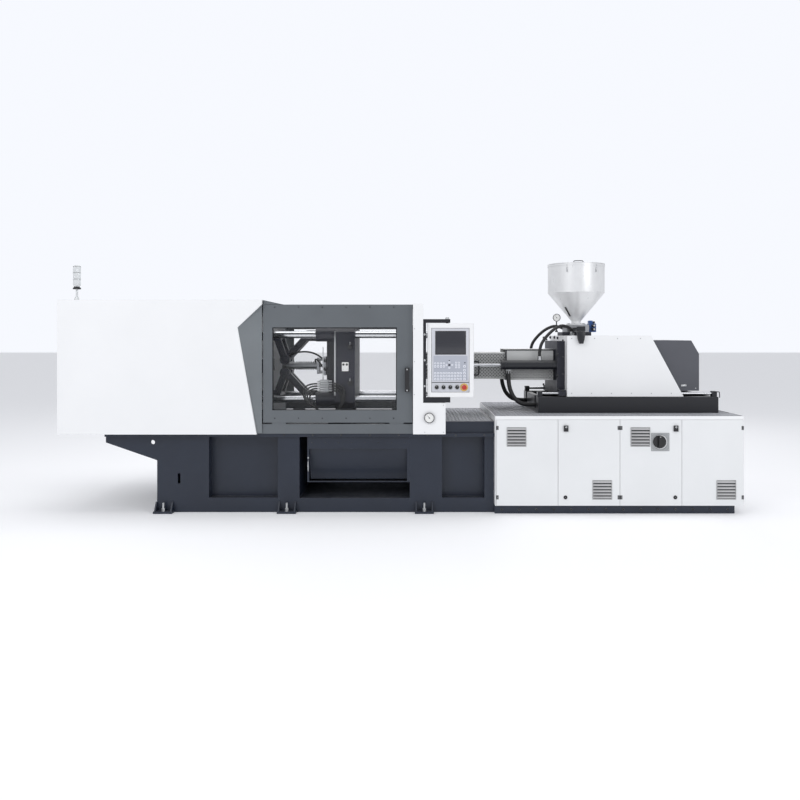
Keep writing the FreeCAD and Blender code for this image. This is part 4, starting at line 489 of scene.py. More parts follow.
def aimed(start, end):
    """Takes the Z axis onto the line from start to end, about its middle."""
    start, end = Vector(start), Vector(end)
    return Matrix.Translation((start + end) / 2) @ (end - start).to_track_quat("Z", "X").to_matrix().to_4x4()


def slab(bm, low, high, radius=0.0, mark=0, steps=2):
    """A block between two corners, with its edges rounded."""
    low, high = Vector(low), Vector(high)
    bit = bmesh.new()
    bmesh.ops.create_cube(bit, size=1.0)
    bmesh.ops.scale(bit, vec=high - low, verts=bit.verts)
    bmesh.ops.translate(bit, vec=(low + high) / 2, verts=bit.verts)
    eased(bit, bit.edges[:], radius, steps)
    take(bm, bit, mark)


def rod(bm, start, end, radius, tip=None, sides=24, edge=0.0, mark=0):
    """A round bar or, with few sides, a hexagon; tip is the radius at its far end."""
    bit = bmesh.new()
    bmesh.ops.create_cone(bit, cap_ends=True, segments=sides, radius1=radius,
                          radius2=radius if tip is None else tip, depth=(Vector(end) - Vector(start)).length)
    eased(bit, [e for e in bit.edges if any(len(f.verts) == sides for f in e.link_faces)], edge)
    bmesh.ops.transform(bit, matrix=aimed(start, end), verts=bit.verts)
    take(bm, bit, mark)


def turned(bm, profile, foot, axis=UP, sides=40, mark=0):
    """A profile of (radius, height) corners spun round an axis that starts at foot."""
    bit = bmesh.new()
    corners = [bit.verts.new((radius, 0, height)) for radius, height in profile]
    line = [bit.edges.new(pair) for pair in zip(corners, corners[1:])]
    bmesh.ops.spin(bit, geom=corners + line, cent=(0, 0, 0), axis=UP, angle=2 * math.pi, steps=sides,
                   use_merge=True)
    bmesh.ops.remove_doubles(bit, verts=bit.verts, dist=1e-6)
    bmesh.ops.recalc_face_normals(bit, faces=bit.faces)
    turn = Vector(axis).to_track_quat("Z", "X").to_matrix().to_4x4()
    bmesh.ops.transform(bit, matrix=Matrix.Translation(Vector(foot)) @ turn, verts=bit.verts)
    take(bm, bit, mark)


def prism(bm, corners, way, edge=0.0, mark=0):
    """A flat outline drawn out along a vector."""
    bit = bmesh.new()
    face = bit.faces.new([bit.verts.new(corner) for corner in corners])
    grown = bmesh.ops.extrude_face_region(bit, geom=[face])
    bmesh.ops.translate(bit, vec=way, verts=[v for v in grown["geom"] if isinstance(v, bmesh.types.BMVert)])
    bmesh.ops.recalc_face_normals(bit, faces=bit.faces)
    eased(bit, bit.edges[:], edge)
    take(bm, bit, mark)


def pipe(bm, points, radius, mark=0, ring=3, run=6):
    """A bent pipe or a held hose through its points."""
    line = bpy.data.curves.new("run", "CURVE")
    line.dimensions = "3D"
    line.bevel_depth = radius
    line.bevel_resolution = ring
    line.use_fill_caps = True
    way = line.splines.new("NURBS")
    way.points.add(len(points) - 1)
    for point, place in zip(way.points, points):
        point.co = (*place, 1)
    way.order_u = 3
    way.use_endpoint_u = True
    way.resolution_u = run
    holder = bpy.data.objects.new("run", line)
    mesh = bpy.data.meshes.new_from_object(holder)
    bit = bmesh.new()
    bit.from_mesh(mesh)
    bpy.data.objects.remove(holder)
    bpy.data.meshes.remove(mesh)
    bpy.data.curves.remove(line)
    bmesh.ops.remove_doubles(bit, verts=bit.verts, dist=1e-6)
    bmesh.ops.recalc_face_normals(bit, faces=bit.faces)
    take(bm, bit, mark)


def bolt(bm, seat, facing, across=0.018, tall=0.008, mark=0):
    """A hexagon head on its washer."""
    seat, facing = Vector(seat), Vector(facing)
    rod(bm, seat, seat + facing * 0.002, across * 0.68, sides=20, edge=0.0005, mark=mark)
    rod(bm, seat + facing * 0.002, seat + facing * tall, across / 2, sides=6, edge=0.0008, mark=mark)


def cap_screw(bm, seat, facing, radius=0.006, tall=0.005, mark=0):
    """A button head with its socket."""
    turned(bm, [(radius, 0), (radius, tall * 0.5), (radius * 0.7, tall), (radius * 0.42, tall),
                (radius * 0.42, tall * 0.35), (0, tall * 0.35)], seat, facing, sides=14, mark=mark)


def holed_plate(bm, centre, half, radius, thick, edge=0.001, mark=0, sides=48):
    """A square plate facing the operator, with a round hole through it."""
    bit = bmesh.new()
    rings = []
    for square in (False, True):
        ring = []
        for step in range(sides):
            angle = 2 * math.pi * step / sides
            c, s = math.cos(angle), math.sin(angle)
            reach = half / max(abs(c), abs(s)) if square else radius
            ring.append(bit.verts.new((centre[0] + c * reach, centre[1], centre[2] + s * reach)))
        rings += [bit.edges.new((ring[k], ring[(k + 1) % sides])) for k in range(sides)]
    bmesh.ops.bridge_loops(bit, edges=rings)
    grown = bmesh.ops.extrude_face_region(bit, geom=bit.faces[:])
    bmesh.ops.translate(bit, vec=FRONT * thick,
                        verts=[v for v in grown["geom"] if isinstance(v, bmesh.types.BMVert)])
    bmesh.ops.recalc_face_normals(bit, faces=bit.faces)
    sharp = [e for e in bit.edges if len(e.link_faces) == 2 and e.calc_face_angle() > 1.0]
    eased(bit, sharp, edge)
    take(bm, bit, mark)


def piece(name, bm, body, slot, *finishes, crease=35):
    """Closes a piece, gives it its finishes and sets it riding on its body."""
    mesh = bpy.data.meshes.new(name)
    bm.to_mesh(mesh)
    bm.free()
    for material in finishes:
        mesh.materials.append(material)
    mesh.polygons.foreach_set("use_smooth", [True] * len(mesh.polygons))
    mesh.set_sharp_from_angle(angle=math.radians(crease))
    thing = bpy.data.objects.new(name, mesh)
    bpy.context.scene.collection.objects.link(thing)
    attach(thing, body)
    return thing


def spread(low, high, count):
    """Evenly spaced values from low to high."""
    return [low + (high - low) * k / (count - 1) for k in range(count)]


def repeated(thing, counts, pitch):
    """Repeats a piece in rows along X and Y."""
    for axis, (count, step) in enumerate(zip(counts, pitch)):
        rows = thing.modifiers.new("rows_%d" % axis, "ARRAY")
        rows.count = count
        rows.use_relative_offset = False
        rows.use_constant_offset = True
        rows.constant_offset_displace = [step if k == axis else 0.0 for k in range(3)]


# ---------------------------------------------------------------- cabinet

def louvre(name, body, left, floor, face):
    """Six pressed slats on a thin rim, over a dark sheet that paints the shade behind their openings."""
    wide, tall, slats = 0.160, 0.158, 6
    bm = bmesh.new()
    slab(bm, (left - 0.004, face - 0.0015, floor - 0.004), (left + wide + 0.004, face, floor + tall + 0.004),
         0.0006, mark=0)
    # Dark sheet behind the slats: painted shade in the openings.
    slab(bm, (left, face - 0.0019, floor), (left + wide, face - 0.0012, floor + tall), 0.0, mark=1)
    pitch = tall / slats
    for k in range(slats):
        top = floor + tall - k * pitch - 0.002
        low = top - pitch * 0.62
        prism(bm, [(left, face - 0.0012, top), (left, face - 0.0085, low + 0.004), (left, face - 0.0095, low),
                   (left, face - 0.0075, low), (left, face - 0.0012, top - 0.006)], RIGHT * wide, 0.0005)
    for side in (left, left + wide - 0.002):
        slab(bm, (side, face - 0.009, floor), (side + 0.002, face, floor + tall), 0.0006)
    piece(name, bm, body, "guard_grey", LOUVRE, DARK_STEEL)


def door_hinge(bm, edge, inwards, height, face):
    """A black leaf hinge, almost flush, with three countersunk screws."""
    wide, tall = 0.0185, 0.034
    left = min(edge, edge + inwards * wide)
    slab(bm, (left, face - 0.0013, height - tall / 2), (left + wide, face + 0.0005, height + tall / 2), 0.0005)
    for drop in (-0.011, 0.0, 0.011):
        turned(bm, [(0.0026, 0), (0.0026, 0.0001), (0.0012, 0.0001), (0, 0.00002)],
               (left + wide / 2, face - 0.0013, height + drop), FRONT, 12, mark=1)


def cabinet():
    """Louvres, hinges, locks and the frame of the main switch."""
    for number in range(1, 5):
        door = "cabinet_door_%d" % number
        body = "door_%d" % number
        low, high = LOW[door], HIGH[door]
        face = low.y
        if number % 2:
            louvre("door_vent_%d" % number, body, low.x + 0.0915, high.z - 0.2245, face)
            edge, inwards = low.x, 1
        else:
            louvre("door_vent_%d" % number, body, high.x - 0.230, low.z + 0.056, face)
            edge, inwards = high.x, -1
        bm = bmesh.new()
        for height in (low.z + 0.071, high.z - 0.0695):
            door_hinge(bm, edge, inwards, height, face)
        piece("door_hinges_%d" % number, bm, body, "black_plastic", PLASTIC, ZINC)
        if number in (2, 3):
            lock = LOW["door_latch_%d" % number], HIGH["door_latch_%d" % number]
            middle = (lock[0].x + lock[1].x) / 2
            bm = bmesh.new()
            turned(bm, [(0.0165, 0), (0.0165, 0.0015), (0.014, 0.0022), (0.0135, 0.008), (0.0115, 0.0095),
                        (0.006, 0.0095), (0.006, 0.0035), (0, 0.0035)],
                   (middle - 0.004, face, low.z + 0.071), FRONT, 32)
            slab(bm, (middle - 0.0052, face - 0.0085, low.z + 0.067),
                 (middle - 0.0028, face - 0.003, low.z + 0.075),
                 0.0004, mark=1)
            piece("low_lock_%d" % number, bm, body, "black_plastic", PLASTIC, ZINC)
            bm = bmesh.new()
            out = lock[0].y
            turned(bm, [(0.0085, 0), (0.0085, 0.001), (0.0065, 0.0015), (0, 0.0015)],
                   (middle, out, lock[1].z - 0.014), FRONT, 24)
            slab(bm, (middle - 0.001, out - 0.0019, lock[1].z - 0.019),
                 (middle + 0.001, out - 0.001, lock[1].z - 0.009),
                 0.0002, mark=1)
            for height in (lock[0].z + 0.004, lock[0].z + 0.021):
                slab(bm, (lock[0].x + 0.004, out - 0.0012, height),
                     (lock[1].x - 0.004, out + 0.001, height + 0.011),
                     0.0012, mark=1)
            piece("latch_insert_%d" % number, bm, "latch_%d" % number, "chrome", ZINC, PLASTIC)
    low, high = LOW["main_switch"], HIGH["main_switch"]
    centre = ((low.x + high.x) / 2 + 0.0065, LOW["cabinet_door_3"].y, (low.z + high.z) / 2 - 0.002)
    bm = bmesh.new()
    holed_plate(bm, centre, 0.0775, 0.0615, 0.004, 0.0012)
    for dx in (-0.066, 0.066):
        for dz in (-0.066, 0.066):
            cap_screw(bm, (centre[0] + dx, centre[1] - 0.004, centre[2] + dz), FRONT, 0.005, 0.003, mark=1)
    piece("switch_frame", bm, "door_3", "guard_grey", GREY_PLASTIC, ZINC)
    bm = bmesh.new()
    middle = ((low.x + high.x) / 2, low.y, (low.z + high.z) / 2)
    turned(bm, [(0.0, 0.0022), (0.003, 0.0022), (0.0036, 0.0)], (middle[0], middle[1], high.z - 0.010),
           FRONT, 16)
    piece("switch_mark", bm, "main_switch", "white_paint", DIAL)
    bm = bmesh.new()
    for x in spread(LOW["injection_bed"].x + 0.06, HIGH["injection_bed"].x - 0.06, 14):
        for side in (-1, 1):
            edge = LOW["injection_bed"].y if side < 0 else HIGH["injection_bed"].y
            bolt(bm, (x, edge, 0.036), (0, side, 0), 0.017, 0.008)
    piece("plinth_bolts", bm, "frame", "black_paint", DARK_STEEL)


def deck_pattern():
    """Raised lozenges of the chequer plate, in crossed pairs."""
    top = HIGH["deck_plates"].z
    step_top = LOW["deck_plates"].z + 0.005
    base, deck = LOW["injection_base"], LOW["deck_plates"]
    base_end, deck_end = HIGH["injection_base"], HIGH["deck_plates"]
    left = LOW["cabinet_shell"].x + 0.012
    areas = {
        "front": ((left, deck.y + 0.014), (deck_end.x - 0.012, base.y - 0.010), top),
        "rear": ((left, base_end.y + 0.010), (deck_end.x - 0.012, deck_end.y - 0.014), top),
        "left": ((left, base.y), (base.x - 0.010, base_end.y), top),
        "right": ((base_end.x + 0.012, base.y), (deck_end.x - 0.012, base_end.y), top),
        "step": ((deck.x + 0.014, LOW["clamp_bed"].y + 0.045), (left - 0.030, HIGH["clamp_bed"].y - 0.045),
                 step_top),
    }
    pitch = 0.0315
    for label, (near, far, level) in areas.items():
        bm = bmesh.new()
        for k, turn in enumerate((45, -45)):
            bit = bmesh.new()
            bmesh.ops.create_cone(bit, cap_ends=True, segments=4, radius1=0.0145, radius2=0.009, depth=0.0022)
            bmesh.ops.scale(bit, vec=(1.0, 0.42, 1.0), verts=bit.verts)
            bmesh.ops.rotate(bit, cent=(0, 0, 0), matrix=Matrix.Rotation(math.radians(turn), 3, "Z"),
                             verts=bit.verts)
            shift = pitch / 4 + k * pitch / 2
            bmesh.ops.translate(bit, vec=(near[0] + shift, near[1] + shift, level + 0.0009), verts=bit.verts)
            take(bm, bit)
        tile = piece("deck_lozenges_" + label, bm, "frame", "chequer_plate", LOZENGE)
        counts = [max(1, int((far[k] - near[k]) / pitch)) for k in (0, 1)]
        repeated(tile, counts, (pitch, pitch))


# ---------------------------------------------------------------- operator's panel

def control_panel():
    """Silver face, screen, key domes, knob rings and the ring round the stop."""
    low, high = LOW["panel_housing"], HIGH["panel_housing"]
    face = low.y
    left, right = low.x + 0.034, high.x - 0.041
    floor, roof = low.z + 0.043, high.z - 0.043
    bar_top = floor + 0.077
    bm = bmesh.new()
    for bottom, top in ((floor, bar_top), (bar_top + 0.006, roof)):
        slab(bm, (left, face - 0.0022, bottom), (right, face + 0.001, top), 0.0012, mark=0)
        slab(bm, (left - 0.003, face - 0.0008, bottom - 0.003), (right + 0.003, face + 0.001, top + 0.003),
             0.0006, mark=1)
    for x in (left + 0.006, right - 0.006):
        for z in (floor + 0.006, bar_top - 0.006, bar_top + 0.013, roof - 0.007):
            cap_screw(bm, (x, face - 0.0022, z), FRONT, 0.0028, 0.0016, mark=2)
    piece("panel_face", bm, "panel", "guard_grey", SILVER, DARK_STEEL, ZINC)
    bm = bmesh.new()
    shown_low, shown_high = Vector((left + 0.030, 0, roof - 0.223)), Vector((right - 0.027, 0, roof - 0.022))
    for inset, out, mark in ((0.0, 0.0036, 1), (0.008, 0.0041, 0)):
        slab(bm, (shown_low.x + inset, face - out, shown_low.z + inset),
             (shown_high.x - inset, face - 0.0018, shown_high.z - inset), 0.0012, mark=mark)
    piece("panel_screen", bm, "panel", "black_plastic", SCREEN, PLASTIC)
    bm = bmesh.new()
    skin = face - 0.0022
    key_left, key_right = left + 0.030, left + 0.245
    pad_top = shown_low.z - 0.014
    slab(bm, (left + 0.016, skin - 0.0004, bar_top + 0.020),
         (right - 0.014, skin + 0.0004, pad_top + 0.004), 0.0002,
         mark=1)

    def key(x, z, wide, tall, mark=0):
        slab(bm, (x - wide / 2, skin - 0.0022, z - tall / 2), (x + wide / 2, skin, z + tall / 2), 0.0010,
             mark=mark)
        slab(bm, (x - wide * 0.22, skin - 0.0024, z - tall * 0.12),
             (x + wide * 0.22, skin - 0.0015, z + tall * 0.12),
             0.0001, mark=2)

    for height in (0.032, 0.057, 0.082):
        for x in spread(key_left, key_right, 10):
            key(x, bar_top + height, 0.0175, 0.0165)
    for x in spread(key_left, key_left + 0.074, 4):
        key(x, bar_top + 0.166, 0.0165, 0.0145)
        key(x, bar_top + 0.140, 0.0165, 0.0190)
    cross_x, cross_z = left + 0.150, bar_top + 0.152
    for dx, dz in ((0, 0.024), (0, -0.024), (0.024, 0), (-0.024, 0)):
        key(cross_x + dx, cross_z + dz, 0.0150, 0.0150)
    key(cross_x, cross_z, 0.0165, 0.0165, mark=2)
    for x in (left + 0.208, left + 0.232):
        for height in (0.132, 0.152, 0.172):
            key(x, bar_top + height, 0.0165, 0.0135)
    for height in (0.032, 0.057, 0.082, 0.107, 0.140):
        key(right - 0.040, bar_top + height, 0.0200, 0.0175)
    for x, z in ((cross_x, cross_z + 0.037), (right - 0.036, bar_top + 0.172)):
        turned(bm, [(0.0052, 0), (0.0052, 0.002), (0.0036, 0.003), (0, 0.0032)], (x, skin, z), FRONT, 20,
               mark=2)
    piece("panel_keys", bm, "panel", "white_paint", KEY, PAD, KEY_DARK)
    bm = bmesh.new()
    for number in range(1, 5):
        knob = LOW["selector_%d" % number], HIGH["selector_%d" % number]
        x, z = (knob[0].x + knob[1].x) / 2, (knob[0].z + knob[1].z) / 2
        turned(bm, [(0.0165, 0), (0.0165, 0.0012), (0.0205, 0.0012), (0.0215, 0)], (x, skin, z), FRONT, 40,
               mark=0)
        for angle in (-60, -30, 0, 30, 60):
            turn = math.radians(90 + angle)
            near, far = (Vector((math.cos(turn) * r, 0, math.sin(turn) * r)) for r in (0.0235, 0.0265))
            foot = Vector((x, skin - 0.0001, z))
            rod(bm, foot + near, foot + far, 0.0006, sides=6, mark=1)
    piece("knob_rings", bm, "panel", "chrome", ZINC, KEY_DARK)
    stop = LOW["stop_button"], HIGH["stop_button"]
    x, z = (stop[0].x + stop[1].x) / 2, (stop[0].z + stop[1].z) / 2
    bm = bmesh.new()
    turned(bm, [(0.0225, 0), (0.0225, 0.0014), (0.0325, 0.0014), (0.0335, 0)], (x, skin, z), FRONT, 48)
    piece("stop_ring", bm, "panel", "guard_grey", YELLOW)
    for number in range(1, 5):
        knob = LOW["selector_%d" % number], HIGH["selector_%d" % number]
        x, z = (knob[0].x + knob[1].x) / 2, (knob[0].z + knob[1].z) / 2
        bm = bmesh.new()
        slab(bm, (x - 0.0009, knob[0].y - 0.0005, z + 0.003), (x + 0.0009, knob[0].y + 0.001, z + 0.0145),
             0.0002)
        piece("selector_mark_%d" % number, bm, "selector_%d" % number, "white_paint", DIAL)
    bm = bmesh.new()
    top = high.z
    for z in (low.z + 0.10, top - 0.10):
        for side, x in ((-1, low.x), (1, high.x)):
            turned(bm, [(0.007, 0), (0.007, 0.002), (0.005, 0.003), (0, 0.003)],
                   (x, (face + high.y) / 2, z), (side, 0, 0), 20)
    for k in range(9):
        z = low.z + 0.12 + k * 0.012
        slab(bm, (low.x + 0.06, high.y - 0.0005, z), (high.x - 0.06, high.y + 0.0015, z + 0.004), 0.0006,
             mark=1)
    piece("panel_screws", bm, "panel", "black_plastic", ZINC, PLASTIC)


# ---------------------------------------------------------------- clamp side

def gauge(bm, centre, facing, radius, deep, marks=(0, 1, 2)):
    """A dial gauge: bezel, dial with ticks, needle and hub; marks are bezel, dial and ink finishes."""
    centre, facing = Vector(centre), Vector(facing)
    turned(bm, [(0, 0), (radius * 0.92, 0), (radius * 0.95, deep * 0.7), (radius, deep * 0.75), (radius, deep),
                (radius * 0.90, deep), (radius * 0.87, deep * 0.82)], centre, facing, 40, mark=marks[0])
    turned(bm, [(radius * 0.88, 0), (radius * 0.88, deep * 0.82), (0, deep * 0.82)], centre, facing, 40,
           mark=marks[1])
    across = facing.cross(UP).normalized()
    face = centre + facing * (deep * 0.82)
    for k in range(11):
        turn = math.radians(-135 + 27 * k)
        way = across * math.sin(turn) + UP * math.cos(turn)
        rod(bm, face + way * radius * 0.66, face + way * radius * 0.80, radius * 0.018, sides=6, mark=marks[2])
    way = across * math.sin(0.7) + UP * math.cos(0.7)
    rod(bm, face - way * radius * 0.2 + facing * 0.001, face + way * radius * 0.6 + facing * 0.001,
        radius * 0.04,
        tip=radius * 0.012, sides=8, mark=marks[2])
    turned(bm, [(radius * 0.1, 0), (radius * 0.1, 0.002), (0, 0.0025)], face, facing, 16, mark=marks[2])


def gate_trim():
    """Seals round the panes, screws on the gates and the fixings of the handle."""
    pane, gate = (LOW["front_window"], HIGH["front_window"]), (LOW["front_gate"], HIGH["front_gate"])
    for side, body in ((-1, "front_gate"), (1, "rear_gate")):
        bm = bmesh.new()
        near, far = sorted((side * (abs(gate[0].y) - 0.0275), side * (abs(gate[0].y) - 0.0335)))
        left, right, low, high = pane[0].x + 0.003, pane[1].x - 0.003, pane[0].z + 0.003, pane[1].z - 0.003
        thick = 0.007
        for a, b in (((left, low), (right, low + thick)), ((left, high - thick), (right, high)),
                     ((left, low), (left + thick, high)), ((right - thick, low), (right, high))):
            slab(bm, (a[0], near, a[1]), (b[0], far, b[1]), 0.0015)
        piece("window_seal_" + ("front" if side < 0 else "rear"), bm, body, "hose_rubber", RUBBER)
        bm = bmesh.new()
        skin = side * abs(gate[0].y)
        for x in spread(gate[0].x + 0.10, gate[1].x - 0.16, 6):
            for z in (gate[0].z + 0.050, gate[1].z - 0.022):
                cap_screw(bm, (x, skin, z), (0, side, 0), 0.0055, 0.0035)
        piece("gate_screws_" + ("front" if side < 0 else "rear"), bm, body, "slate_paint", DARK_STEEL)
    grip = LOW["front_handle"], HIGH["front_handle"]
    bm = bmesh.new()
    for z in (grip[0].z + 0.013, grip[1].z - 0.013):
        turned(bm, [(0.0065, 0.0003), (0.006, 0.0008), (0.0035, 0.0008), (0.0035, 0.0002), (0, 0.0002)],
               ((grip[0].x + grip[1].x) / 2, grip[0].y, z), FRONT, 20)
    piece("handle_plugs", bm, "front_gate", "chrome", ZINC)


def covers():
    """Edge screws of the clamp's covers, painted shade in the hood's end vents, beacon ribs, and the gauge."""
    low, high = LOW["clamp_hood"], HIGH["clamp_hood"]
    bm = bmesh.new()
    for x in spread(low.x + 0.08, high.x - 0.32, 7):
        cap_screw(bm, (x, high.y, low.z + 0.03), BACK, 0.005, 0.003)
        cap_screw(bm, (x, high.y, high.z - 0.03), BACK, 0.005, 0.003)
    for y in spread(-0.56, 0.56, 5):
        cap_screw(bm, (low.x, y, high.z - 0.04), LEFT, 0.005, 0.003)
        cap_screw(bm, (low.x, y, low.z + 0.05), LEFT, 0.005, 0.003)
    piece("hood_screws", bm, "frame", "chrome", ZINC)
    bm = bmesh.new()
    # Dark slot shapes on the hood's end: painted shade in its vent openings.
    for slot_x in spread(-0.30, 0.30, 11):
        for k in range(2):
            z = 0.98 + k * 0.34
            slab(bm, (low.x - 0.0022, slot_x - 0.006, z), (low.x + 0.0005, slot_x + 0.006, z + 0.20), 0.002,
                 steps=3)
    piece("hood_vent_shade", bm, "frame", "black_paint", DARK_STEEL)
    mast = LOW["warning_beacon"], HIGH["warning_beacon"]
    middle = ((mast[0].x + mast[1].x) / 2, (mast[0].y + mast[1].y) / 2)
    bm = bmesh.new()
    for z in spread(mast[1].z - 0.120, mast[1].z - 0.010, 3):
        turned(bm, [(0.0305, 0), (0.0320, 0.0005), (0.0320, 0.002), (0.0305, 0.0025)], (*middle, z), UP, 36)
    turned(bm, [(0.030, 0), (0.033, 0.0), (0.033, 0.010), (0.022, 0.020), (0.010, 0.022)],
           (*middle, mast[1].z - 0.204), UP, 36)
    piece("beacon_bands", bm, "frame", "black_plastic", PLASTIC)
    box = LOW["column_covers"], HIGH["column_covers"]
    bm = bmesh.new()
    gauge(bm, (box[0].x + 0.138, box[0].y, 0.823), FRONT, 0.044, 0.020)
    piece("clamp_gauge", bm, "frame", "chrome", DARK_STEEL, DIAL, KEY_DARK)
    bm = bmesh.new()
    for z in (1.02, 1.30, 1.58):
        cap_screw(bm, (box[0].x + 0.012, box[0].y, z), FRONT, 0.004, 0.003)
    for x, z in ((box[1].x - 0.018, 0.930), (box[1].x - 0.018, 0.700), (box[0].x + 0.10, 0.700)):
        cap_screw(bm, (x, box[0].y, z), FRONT, 0.004, 0.003)
    arm = LOW["panel_bracket"], HIGH["panel_bracket"]
    turned(bm, [(0.016, 0), (0.016, 0.010), (0.012, 0.016), (0, 0.016)], (0.400, -0.645, arm[1].z), UP, 24)
    for z in (arm[0].z + 0.14, arm[0].z + 0.36, arm[0].z + 0.58):
        bolt(bm, (arm[0].x + 0.013, arm[0].y, z), FRONT, 0.013, 0.006)
    piece("column_fixings", bm, "frame", "chrome", ZINC)


def bed_trim():
    """Levelling bolts, the outlet guard's handle, catch and screws, and the bed's bolts."""
    bm = bmesh.new()
    for x in (-2.031, -0.974, 0.204):
        for side in (-1, 1):
            foot = Vector((x, side * 0.632, 0.018))
            rod(bm, foot - UP * 0.016, foot + UP * 0.072, 0.0095, sides=20, edge=0.001)
            rod(bm, foot, foot + UP * 0.003, 0.019, sides=28, edge=0.0006)
            rod(bm, foot + UP * 0.003, foot + UP * 0.017, 0.0155, sides=6, edge=0.0014)
            rod(bm, foot + UP * 0.018, foot + UP * 0.028, 0.0155, sides=6, edge=0.0014)
    piece("levelling_bolts", bm, "frame", "chrome", ZINC)
    guard = LOW["outlet_guard"], HIGH["outlet_guard"]
    x, face = guard[0].x, guard[0].y
    bm = bmesh.new()
    pipe(bm, [(x + 0.010, face, 0.352), (x + 0.010, face - 0.028, 0.352), (x + 0.010, face - 0.028, 0.40),
              (x + 0.010, face - 0.028, 0.448), (x + 0.010, face, 0.448)], 0.0045)
    slab(bm, (x + 0.002, face - 0.006, 0.462), (x + 0.014, face + 0.0005, 0.476), 0.001)
    rod(bm, (x + 0.006, face - 0.009, 0.398), (x + 0.006, face - 0.003, 0.398), 0.006, sides=16, edge=0.001)
    piece("outlet_guard_handle", bm, "outlet_guard", "chrome", ZINC)
    bm = bmesh.new()
    for px in spread(guard[0].x + 0.04, guard[1].x - 0.04, 8):
        cap_screw(bm, (px, face, guard[1].z - 0.050), FRONT, 0.0045, 0.003)
    piece("outlet_guard_screws", bm, "outlet_guard", "black_paint", DARK_STEEL)
    bed = LOW["clamp_bed"], HIGH["clamp_bed"]
    bm = bmesh.new()
    for x in spread(-1.98, 0.72, 12):
        for side in (-1, 1):
            bolt(bm, (x, side * abs(bed[0].y), 0.6675), (0, side, 0), 0.012, 0.006)
    piece("bed_bolts", bm, "frame", "navy_paint", DARK_STEEL)


# ---------------------------------------------------------------- inside the clamp

def screw_circle(bm, centre, facing, reach, count, first, radius, tall):
    """Cap screws evenly round a bar that runs along X; first is the first one's angle in degrees."""
    for k in range(count):
        turn = math.radians(first + 360 / count * k)
        cap_screw(bm, Vector(centre) + Vector((0, math.cos(turn), math.sin(turn))) * reach, facing, radius,
                  tall)


def bush_screws():
    """Screws round the bushes of the tie bars, and the fixed platen's bolts."""
    bm = bmesh.new()
    outer_face = HIGH["fixed_platen"].x
    for y, z in TIE_BARS:
        screw_circle(bm, (-0.760, y, z), LEFT, 0.048, 6, 30, 0.0055, 0.006)
    piece("bush_bolts", bm, "moving_platen", "chrome", ZINC)
    bm = bmesh.new()
    for y, z in TIE_BARS:
        screw_circle(bm, (outer_face, y, z), RIGHT, 0.078, 8, 22.5, 0.008, 0.008)
    for z in (1.075, 1.405):
        for y in (-0.14, 0.14):
            bolt(bm, (outer_face, y, z), RIGHT, 0.024, 0.014)
    piece("fixed_platen_bolts", bm, "frame", "chrome", ZINC)


